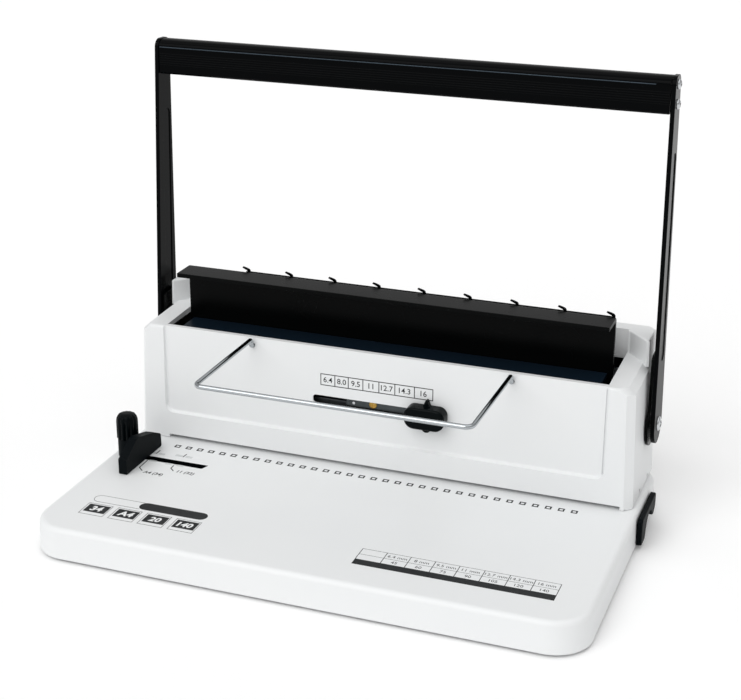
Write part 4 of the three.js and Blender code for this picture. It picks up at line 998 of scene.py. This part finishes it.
# %% Bending wire
def run_on(bm, ring, way):
    new = bmesh.ops.extrude_edge_only(bm, edges=ring)["geom"]
    ends = set(points_in(new))
    bmesh.ops.translate(bm, vec=way, verts=list(ends))
    return [e for e in new if isinstance(e, bmesh.types.BMEdge) and set(e.verts) <= ends]


def bent_wire(points, bends, radius, sides=20, steps=6):
    bm = bmesh.new()
    way = (points[1] - points[0]).normalized()
    facing = way.to_track_quat("Z", "Y").to_matrix().to_4x4()
    start = Matrix.Translation(points[0]) @ facing
    bmesh.ops.create_circle(bm, cap_ends=False, segments=sides, radius=radius * MM, matrix=start)
    ring = bm.edges[:]
    here = points[0]
    for corner, after, reach in zip(points[1:-1], points[2:], bends):
        way = (corner - here).normalized()
        leaving = (after - corner).normalized()
        ring = run_on(bm, ring, way * ((corner - here).length - reach * MM))
        swung = bmesh.ops.spin(
            bm, geom=ring, cent=corner + (leaving - way) * reach * MM,
            axis=way.cross(leaving), angle=math.pi / 2, steps=steps,
        )
        ring = [e for e in swung["geom_last"] if isinstance(e, bmesh.types.BMEdge)]
        here = corner + leaving * reach * MM
    run_on(bm, ring, points[-1] - here)
    bmesh.ops.holes_fill(bm, edges=bm.edges, sides=0)
    bmesh.ops.remove_doubles(bm, verts=bm.verts, dist=1e-7)
    bmesh.ops.recalc_face_normals(bm, faces=bm.faces)
    return bm


print("wire tools ready")

# %% Wire rack
RACK_TOP, NECK, RACK_FRONT, PLUG = 104.2, 36.3, -49.4, 48.9
HOOK_BEND, FRONT_BEND, WIRE_R = 1.9, 5, 1.6
route = [
    at(RACK_LEFT, PLUG, RACK_PLUG_Z), at(RACK_LEFT, NECK, RACK_PLUG_Z),
    at(RACK_LEFT, NECK, RACK_TOP), at(RACK_LEFT, RACK_FRONT, RACK_TOP),
    at(RACK_RIGHT, RACK_FRONT, RACK_TOP), at(RACK_RIGHT, NECK, RACK_TOP),
    at(RACK_RIGHT, NECK, RACK_PLUG_Z), at(RACK_RIGHT, PLUG, RACK_PLUG_Z),
]
bends = [HOOK_BEND, HOOK_BEND, FRONT_BEND, FRONT_BEND, HOOK_BEND, HOOK_BEND]
wire = solid("rack_wire", bent_wire(route, bends, WIRE_R))
finish_piece(wire, chrome, "rack", "chrome", "rack_rod", ease=0)

# %% [markdown]
# ## Edge guide
#
# The guide is a black fence that lines up the sheet's left edge. Its side outline
# rises to a flat peak. A round lobe beside it carries the knob that clamps the guide
# in its slot. The fence is cut back beside the knob, and the lobe is bored for the
# bolt.

# %% Edge guide bar
GUIDE_X, GUIDE_Y = -165.6, 1.0
GUIDE_FOOT, LOBE_TOP, BOLT_R = 23, 35.6, 2.6
FENCE_FRONT = -28.5
fence_plan = [(FENCE_FRONT, GUIDE_FOOT), (20.4, GUIDE_FOOT), (21, 24), (20.7, 31.6), (19.6, 32.9),
              (10.8, 37.1), (-8.5, 42.1), (-13.0, 42.1), (-26.0, 34.6), (FENCE_FRONT, 33.4)]
fence = prism(fence_plan, "x", (-157, -151), {5: 1.5, 6: 1.2, 7: 1.2, 8: 0.8}, 4)
guide = solid("edge_guide_fence", fence)
lobe = rod(6.8, "z", (GUIDE_FOOT, LOBE_TOP), (GUIDE_X, GUIDE_Y), 48)
web = block((GUIDE_X, -154), (-5.6, 7.6), (GUIDE_FOOT, LOBE_TOP))
for part in (lobe, web):
    combine(guide, part, "UNION")
knob_room = rod(7.8, "z", (LOBE_TOP + 0.1, 46), (GUIDE_X, GUIDE_Y), 48)
bolt_hole = rod(BOLT_R, "z", (20, 37), (GUIDE_X, GUIDE_Y), 24)
for opening in (knob_room, bolt_hole):
    combine(guide, opening)
finish_piece(guide, grained_abs, "edge_guide", "black_plastic", "edge_guide_bar", ease=0.45)

# %% [markdown]
# ### Knob of the edge guide
#
# The knob is fluted, so that fingers can grip it, and domed. It starts as a circle
# with many points. A cosine draws its flutes. The top face is then extruded ring by
# ring: the first ring carries the flutes up, the second softens them, and the rest
# draw in the dome.

# %% Fluted grip
FLUTES, GRIP_R, FLUTE_CUT = 12, 7.3, 0.13
DOME = ((1.3, 0.955), (1.1, 0.93), (0.9, 0.88), (0.6, 0.8), (0.35, 0.68), (0.15, 0.45))


def ring_out(bm, face, up, narrowing, roundness=0.0):
    raised = bmesh.ops.extrude_face_region(bm, geom=[face])["geom"]
    for v in points_in(raised):
        spot = Vector((v.co.x, v.co.y))
        round_spot = spot.normalized() * GRIP_R * MM
        spot = spot.lerp(round_spot, roundness)
        spot = spot.normalized() * min(spot.length, round_spot.length) * narrowing
        v.co = (spot.x, spot.y, v.co.z + up * MM)
    return next(g for g in raised if isinstance(g, bmesh.types.BMFace))


grip = bmesh.new()
bmesh.ops.create_circle(grip, cap_ends=True, segments=FLUTES * 8, radius=GRIP_R * MM)
for v in grip.verts:
    turn = math.atan2(v.co.y, v.co.x)
    v.co *= 1 - FLUTE_CUT * (0.5 - 0.5 * math.cos(turn * FLUTES)) ** 2
top = ring_out(grip, grip.faces[:][0], up=11.8, narrowing=1.0)
top = ring_out(grip, top, up=1.5, narrowing=0.985, roundness=0.3)
for up, narrowing in DOME:
    top = ring_out(grip, top, up, narrowing)
bmesh.ops.holes_fill(grip, edges=[e for e in grip.edges if e.is_boundary], sides=0)
bmesh.ops.recalc_face_normals(grip, faces=grip.faces)
print("knob height", round(max(v.co.z for v in grip.verts) / MM, 1), "mm")

# %% Edge guide knob
guide_knob = solid("edge_guide_grip", grip)
foot_disc = rod(5.2, "z", (-0.25, 0.6), (0, 0), 32)
combine(guide_knob, foot_disc, "UNION")
bolt_bore = rod(BOLT_R, "z", (-2, 9.4), (0, 0), 24)
combine(guide_knob, bolt_bore)
guide_knob.data.transform(Matrix.Translation(at(GUIDE_X, GUIDE_Y, 35.9)))
finish_piece(
    guide_knob, black_abs, "guide_knob", "black_plastic", "edge_guide_knob", ease=0, angle=50
)

# %% [markdown]
# ## Drawer handle
#
# The waste drawer slides out to the right under the dies. Its end carries a black
# plate with an arched notch for a finger and a pointed tooth behind it. The outline
# is drawn in side view and pulled to 3.4 mm.

# %% Drawer handle
PULL_INNER, PULL_OUTER = 178.5, 181.9
handle_plan = [(30.1, 2.9), (42.0, 2.9), (44.5, 9.5), (47.5, 14.2), (53.5, 16.4), (60.0, 15.0),
               (66.0, 8.4), (69.0, 7.6), (75.1, 11.6), (75.1, 21.3), (30.1, 21.3)]
handle_rounds = [2.4, 2.0, 2.0, 2.5, 3.0, 2.5, 1.0, 1.0, 2.0, 2.4, 2.4]
rounded = dict(enumerate(handle_rounds))
drawer_plate = prism(handle_plan, "x", (PULL_INNER, PULL_OUTER), rounded, 6)
soften(drawer_plate, rim("x", PULL_OUTER), 0.9, 3)
pull = solid("drawer_handle_moulding", drawer_plate)
finish_piece(pull, grained_abs, "drawer", "black_plastic", "drawer_handle", ease=0, angle=50)

# %% [markdown]
# ## Printed marks
#
# Ink is a film, so each mark is a very thin solid that lies on the plastic. A square
# mark is a square with an inset whose middle is deleted, and a line is a long thin
# patch. Figures are Blender text, turned into a mesh and scaled to their height in
# millimetres before they are laid on the deck.

# %% Patches, lines and squares
FILM, SUNK = 0.06, 0.02


def patch(x, y):
    return prism(box_plan(*x, *y), "z", (DECK - SUNK, DECK + FILM))


def stroke(start, end, width, z=DECK):
    a, b = Vector(start), Vector(end)
    way = (b - a).normalized()
    side = Vector((-way.y, way.x)) * width / 2
    plan = [tuple(a + side), tuple(a - side), tuple(b - side), tuple(b + side)]
    return prism(plan, "z", (z - SUNK, z + FILM))


def frame_mark(x, y, width):
    bm = bmesh.new()
    bm.faces.new([bm.verts.new(at(a, b, DECK - SUNK)) for a, b in box_plan(*x, *y)])
    bm.normal_update()
    middle = bm.faces[:]
    bmesh.ops.inset_region(
        bm, faces=middle, thickness=width * MM, use_even_offset=True, use_boundary=True
    )
    bmesh.ops.delete(bm, geom=middle, context="FACES")
    raised = bmesh.ops.extrude_face_region(bm, geom=bm.faces[:])["geom"]
    bmesh.ops.translate(bm, vec=at(0, 0, FILM + SUNK), verts=points_in(raised))
    bmesh.ops.recalc_face_normals(bm, faces=bm.faces)
    return bm


print("ink film", FILM, "mm")


# %% Figures
def figures(words, height, place, weight=0.0, slant=0.0, centred=False):
    curve = bpy.data.curves.new("figures", "FONT")
    curve.body = words
    curve.shear = slant
    curve.offset = weight
    curve.extrude = 0.5
    curve.resolution_u = 3
    text = bpy.data.objects.new("figures", curve)
    bpy.context.scene.collection.objects.link(text)
    bpy.context.view_layer.update()
    seen = text.evaluated_get(bpy.context.evaluated_depsgraph_get())
    mesh = bpy.data.meshes.new_from_object(seen)
    bpy.data.objects.remove(text)
    bpy.data.curves.remove(curve)
    bm = bmesh.new()
    bm.from_mesh(mesh)
    bpy.data.meshes.remove(mesh)
    bmesh.ops.remove_doubles(bm, verts=bm.verts, dist=1e-5)
    low = [min(v.co[i] for v in bm.verts) for i in (0, 1)]
    high = [max(v.co[i] for v in bm.verts) for i in (0, 1)]
    scale = height / (high[1] - low[1])
    start = (low[0] + high[0]) / 2 if centred else low[0]
    flat = Matrix.Diagonal((scale * MM, scale * MM, FILM * MM, 1))
    bmesh.ops.translate(bm, vec=(-start, -low[1], 0), verts=bm.verts)
    return moved(bm, place @ flat)


def on_deck(x, y, lift=0.0):
    return Matrix.Translation(at(x, y, DECK + lift))


print("printing tools ready")

# %% [markdown]
# ### Punch marks and paper sizes
#
# A row of 34 squares shows where the punches come down, three to the inch. It is the
# machine's own ruler. Ticks and leaders beside the slot mark two sizes of paper.

# %% Punch marks, ticks and their figures
HOLES, INCH, LOOPS = 34, 25.4, 3
ROW_MIDDLE, MARK_HALF, LINE, TICK = -0.5, 2.1, 1.0, 0.7
marks = []
for i in range(HOLES):
    x = ROW_MIDDLE + (i - (HOLES - 1) / 2) * INCH / LOOPS
    marks.append(frame_mark((x - MARK_HALF, x + MARK_HALF), (22.5, 26.5), LINE))
ticks = [
    ((-148.5, 14.1), (-148.7, 8.5)), ((-128.7, 14.9), (-129.1, 9.9)),
    ((-149.2, -2.6), (-149.0, -15.0)), ((-149.0, -15.0), (-145.1, -18.6)),
    ((-128.9, -4.0), (-128.7, -8.7)), ((-128.7, -8.7), (-125.3, -11.9)),
]
marks += [stroke(start, end, TICK) for start, end in ticks]
for words, x, y in (("A4 (34)", -143.4, -22.4), ("11 (32)", -122.6, -14.0)):
    marks.append(figures(words, 4.4, on_deck(x, y), weight=0.02, slant=0.1))
print("punch marks", round(INCH / LOOPS, 3), "mm apart")

# %% [markdown]
# ### Size table
#
# A table gives the number of sheets for each size of spine. Its columns differ a
# little in width, so their lines are listed from left to right.

# %% Size table
TABLE_TOP, TABLE_MIDDLE, TABLE_FOOT = -67.9, -74.8, -81.2
columns = [31.0, 46.8, 61.9, 77.3, 92.4, 107.8, 123.3, 138.6, 153.9]
for x in columns:
    marks.append(stroke((x, TABLE_TOP), (x, TABLE_FOOT), 0.42))
marks += [
    stroke((31, TABLE_TOP), (153.9, TABLE_TOP), 0.25),
    stroke((31, TABLE_MIDDLE), (153.9, TABLE_MIDDLE), 0.22),
    patch((30.8, 154.1), (-87.4, -81.1)),
]
SIZES = ["6.4", "8", "9.5", "11", "12.7", "14.3", "16"]
SHEETS = ["45", "60", "75", "90", "105", "120", "140"]
for i, (size, count) in enumerate(zip(SIZES, SHEETS)):
    middle = (columns[i + 1] + columns[i + 2]) / 2
    for words, y in ((size + " mm", -72.9), (count, -79.5)):
        marks.append(figures(words, 2.9, on_deck(middle, y), centred=True))
print("table columns:", len(columns) - 1)

# %% [markdown]
# ### Fields at the left front
#
# Four black fields in thin frames carry white figures, and two rounded pills lie
# behind them. A frame is an inset square again, and the open pill is a rounded
# outline with a smaller one cut out of it.

# %% Fields and pills
FIELD_W, FIELD_GAP = 14.9, 1.3
fields = [("34", 6.2, -152.7), ("A4", 6.2, -131.9), ("20", 5.8, -111.2), ("140", 5.8, -90.4)]
white_marks = []
for words, height, x in fields:
    marks.append(patch((x, x + FIELD_W), (-83.6, -73.5)))
    marks.append(frame_mark((x - FIELD_GAP, x + 15.8), (-87.2, -72.1), 0.28))
    place = on_deck(x + 7.3, -81.6, lift=FILM)
    white = figures(words, height, place, weight=0.035, slant=0.12, centred=True)
    white_marks.append(white)
pill_plan, open_plan = box_plan(-122, -74.8, -69.2, -60.0), box_plan(-154.5, -117.0, -69.4, -60.4)
pill = prism(pill_plan, "z", (DECK - SUNK, DECK + FILM), every_corner(4.5), 10)
open_pill = prism(open_plan, "z", (DECK - SUNK, DECK + 0.04), every_corner(4.4), 10)
outline = solid("outline_pill_print", open_pill)
within = prism(box_plan(-154.2, -110, -69.1, -60.7), "z", (DECK - 1, DECK + 1), {0: 4.1, 3: 4.1}, 10)
combine(outline, within)
marks.append(pill)

deck_black = solid("deck_print_black", gathered(*marks))
finish_piece(deck_black, black_ink, "frame", "black_plastic", ease=0)
finish_piece(outline, black_ink, "frame", "black_plastic", ease=0)
deck_white = solid("deck_print_white", gathered(*white_marks))
finish_piece(deck_white, white_ink, "frame", "white_abs", ease=0)

# %% Pale lines beside the slot
HATCH_PITCH, HATCH_LINES = 0.9, 3
groups = [(-151.5, -147.6, 8.3), (-147.0, -142.4, 8.3), (-135.1, -129.9, 10.2),
          (-127.8, -122.6, 10.2), (-148.0, -142.5, -3.6), (-135.5, -130.5, -4.0),
          (-127.5, -122.0, -4.0)]
hatch = []
for x0, x1, y0 in groups:
    for k in range(HATCH_LINES):
        hatch.append(stroke((x0, y0 + HATCH_PITCH * k), (x1, y0 + HATCH_PITCH * k), 0.4))
deck_grey = solid("deck_print_grey", gathered(*hatch))
finish_piece(deck_grey, grey_ink, "frame", "white_abs", ease=0)

# %% [markdown]
# ## Scale on the panel
#
# The panel carries a row of boxes with the spine diameters. They are made flat, as on
# the deck, then one matrix stands them up against the panel's face.

# %% Panel scale
SCALE_LINE = 0.55
upright = facing_front(0, PANEL, 0)
edges = [-39.1, -29.1, -19.6, -9.3, 1.9, 13.0, 26.5, 39.1]
lines = [stroke((x, 78.2), (x, 86.2), SCALE_LINE, 0) for x in edges]
lines += [stroke((-39.3, z), (39.3, z), SCALE_LINE, 0) for z in (78.3, 86.1)]
scale = [moved(line, upright) for line in lines]
for words, a, b in zip(("6.4", "8.0", "9.5", "11", "12.7", "14.3", "16"), edges, edges[1:]):
    place = upright @ Matrix.Translation(at((a + b) / 2, 80.3, 0))
    scale.append(figures(words, 3.9, place, weight=0.008, centred=True))
panel_black = solid("panel_print_black", gathered(*scale))
finish_piece(panel_black, black_ink, "frame", "black_plastic", ease=0)

# %% [markdown]
# ## Solids that keep their shape
#
# The works inside are already as they should be. They keep their solids, and only
# get the finish of what they are made of. A weld joins each solid's loose triangles
# and a fine bevel takes the edge off, so that light catches on the plates.

# %% Finishes for the works
works = {
    enamel: ["side_frame_left", "side_frame_right"],
    zinc_plate: ["bottom_plate", "tie_bar", "punch_yoke_left",
                 "punch_yoke_right", "closing_slot_plate_left", "closing_slot_plate_right",
                 "clamp_bolt"],
    ground_steel: ["die_plate", "guide_plate", "throat_stop", "punch_bar", "lever_shaft",
                   "punch_eccentric_left", "punch_eccentric_right", "closing_crank_left",
                   "closing_crank_right"],
    chrome: ["guide_post_left", "guide_post_right"],
    brass: ["post_bushing_left", "post_bushing_right"],
    rubber: ["foot_front_left", "foot_front_right", "foot_rear_left", "foot_rear_right"],
    black_abs: ["rack_socket_left", "rack_socket_right", "waste_drawer", "cover_screw_left_1",
                "cover_screw_left_2", "cover_screw_right_1", "cover_screw_right_2"],
}
for finish, names in works.items():
    for name in names:
        node = frame["nodes"][name]
        node.data.materials.clear()
        node.data.materials.append(finish)
        weld = node.modifiers.new("weld", "WELD")
        weld.merge_threshold = 1e-6
        edge = node.modifiers.new("eased edges", "BEVEL")
        edge.width = 0.15 * MM
        edge.segments = 1
        edge.limit_method = "ANGLE"
        edge.angle_limit = math.radians(40)
print("solids kept:", sum(len(names) for names in works.values()))

# %% [markdown]
# ## Camera
#
# The camera stands where the photographer stood: about a metre away, turned 20
# degrees and looking 21 degrees down. Its place, its angles and its focal length
# come from a fit of the row of punch marks and other points to the photograph.

# %% Camera
FOCAL_PX, PHOTO_WIDTH = 1575.947, 741
STAND = (0.326746, -0.857887, 0.479972)
yaw, pitch, roll = math.radians(20.252), math.radians(21.281), math.radians(-0.223)
forward = Vector((
    -math.sin(yaw) * math.cos(pitch), math.cos(yaw) * math.cos(pitch), -math.sin(pitch)
))
across = Vector((math.cos(yaw), math.sin(yaw), 0))
down = forward.cross(across)
x_axis = across * math.cos(roll) + down * math.sin(roll)
y_axis = across * math.sin(roll) - down * math.cos(roll)
lens = bpy.data.cameras.new("camera")
lens.sensor_width = 36
lens.lens = FOCAL_PX / PHOTO_WIDTH * lens.sensor_width
lens.clip_end = 50
camera = bpy.data.objects.new("camera", lens)
bpy.context.scene.collection.objects.link(camera)
turned_to = Matrix((x_axis, y_axis, -forward)).transposed().to_4x4()
camera.matrix_world = Matrix.Translation(STAND) @ turned_to
bpy.context.scene.camera = camera
print("lens", round(lens.lens, 1), "mm")

# %% [markdown]
# ## Light and floor
#
# The light is soft and even, as over a shop's product table. Three wide suns stand
# for large soft boxes, so the white floor is lit alike near and far, and a dim
# white world fills the shadows.


# %% Light
def soft_sun(name, strength, spread, toward):
    light = bpy.data.lights.new(name, "SUN")
    light.energy = strength
    light.angle = math.radians(spread)
    lamp = bpy.data.objects.new(name, light)
    lamp.rotation_euler = Vector(toward).to_track_quat("-Z", "Y").to_euler()
    bpy.context.scene.collection.objects.link(lamp)


soft_sun("key soft box", 1.22, 50, (0.35, 1.0, -0.9))
soft_sun("top soft box", 0.78, 80, (-0.1, 0.1, -1.0))
soft_sun("rear soft box", 0.12, 60, (0.1, -1.0, -0.45))

world = bpy.data.worlds.new("studio")
world.use_nodes = True
world.node_tree.nodes.clear()
air = add(world.node_tree, "ShaderNodeBackground", {"Color": ink("#ffffff"), "Strength": 0.5})
add(world.node_tree, "ShaderNodeOutputWorld", {"Surface": air.outputs["Background"]})
bpy.context.scene.world = world
print("suns:", len(bpy.data.lights))

# %% Floor
floor_bm = bmesh.new()
bmesh.ops.create_grid(floor_bm, x_segments=1, y_segments=1, size=12)
floor = solid("floor", floor_bm)
paper, paper_tree, _ = new_finish("white studio paper")
surface(paper_tree, {"Base Color": ink("#ffffff"), "Roughness": 0.9, "Specular IOR Level": 0.0})
floor.data.materials.append(paper)
bpy.context.scene.view_settings.view_transform = "Standard"
print("floor ready")
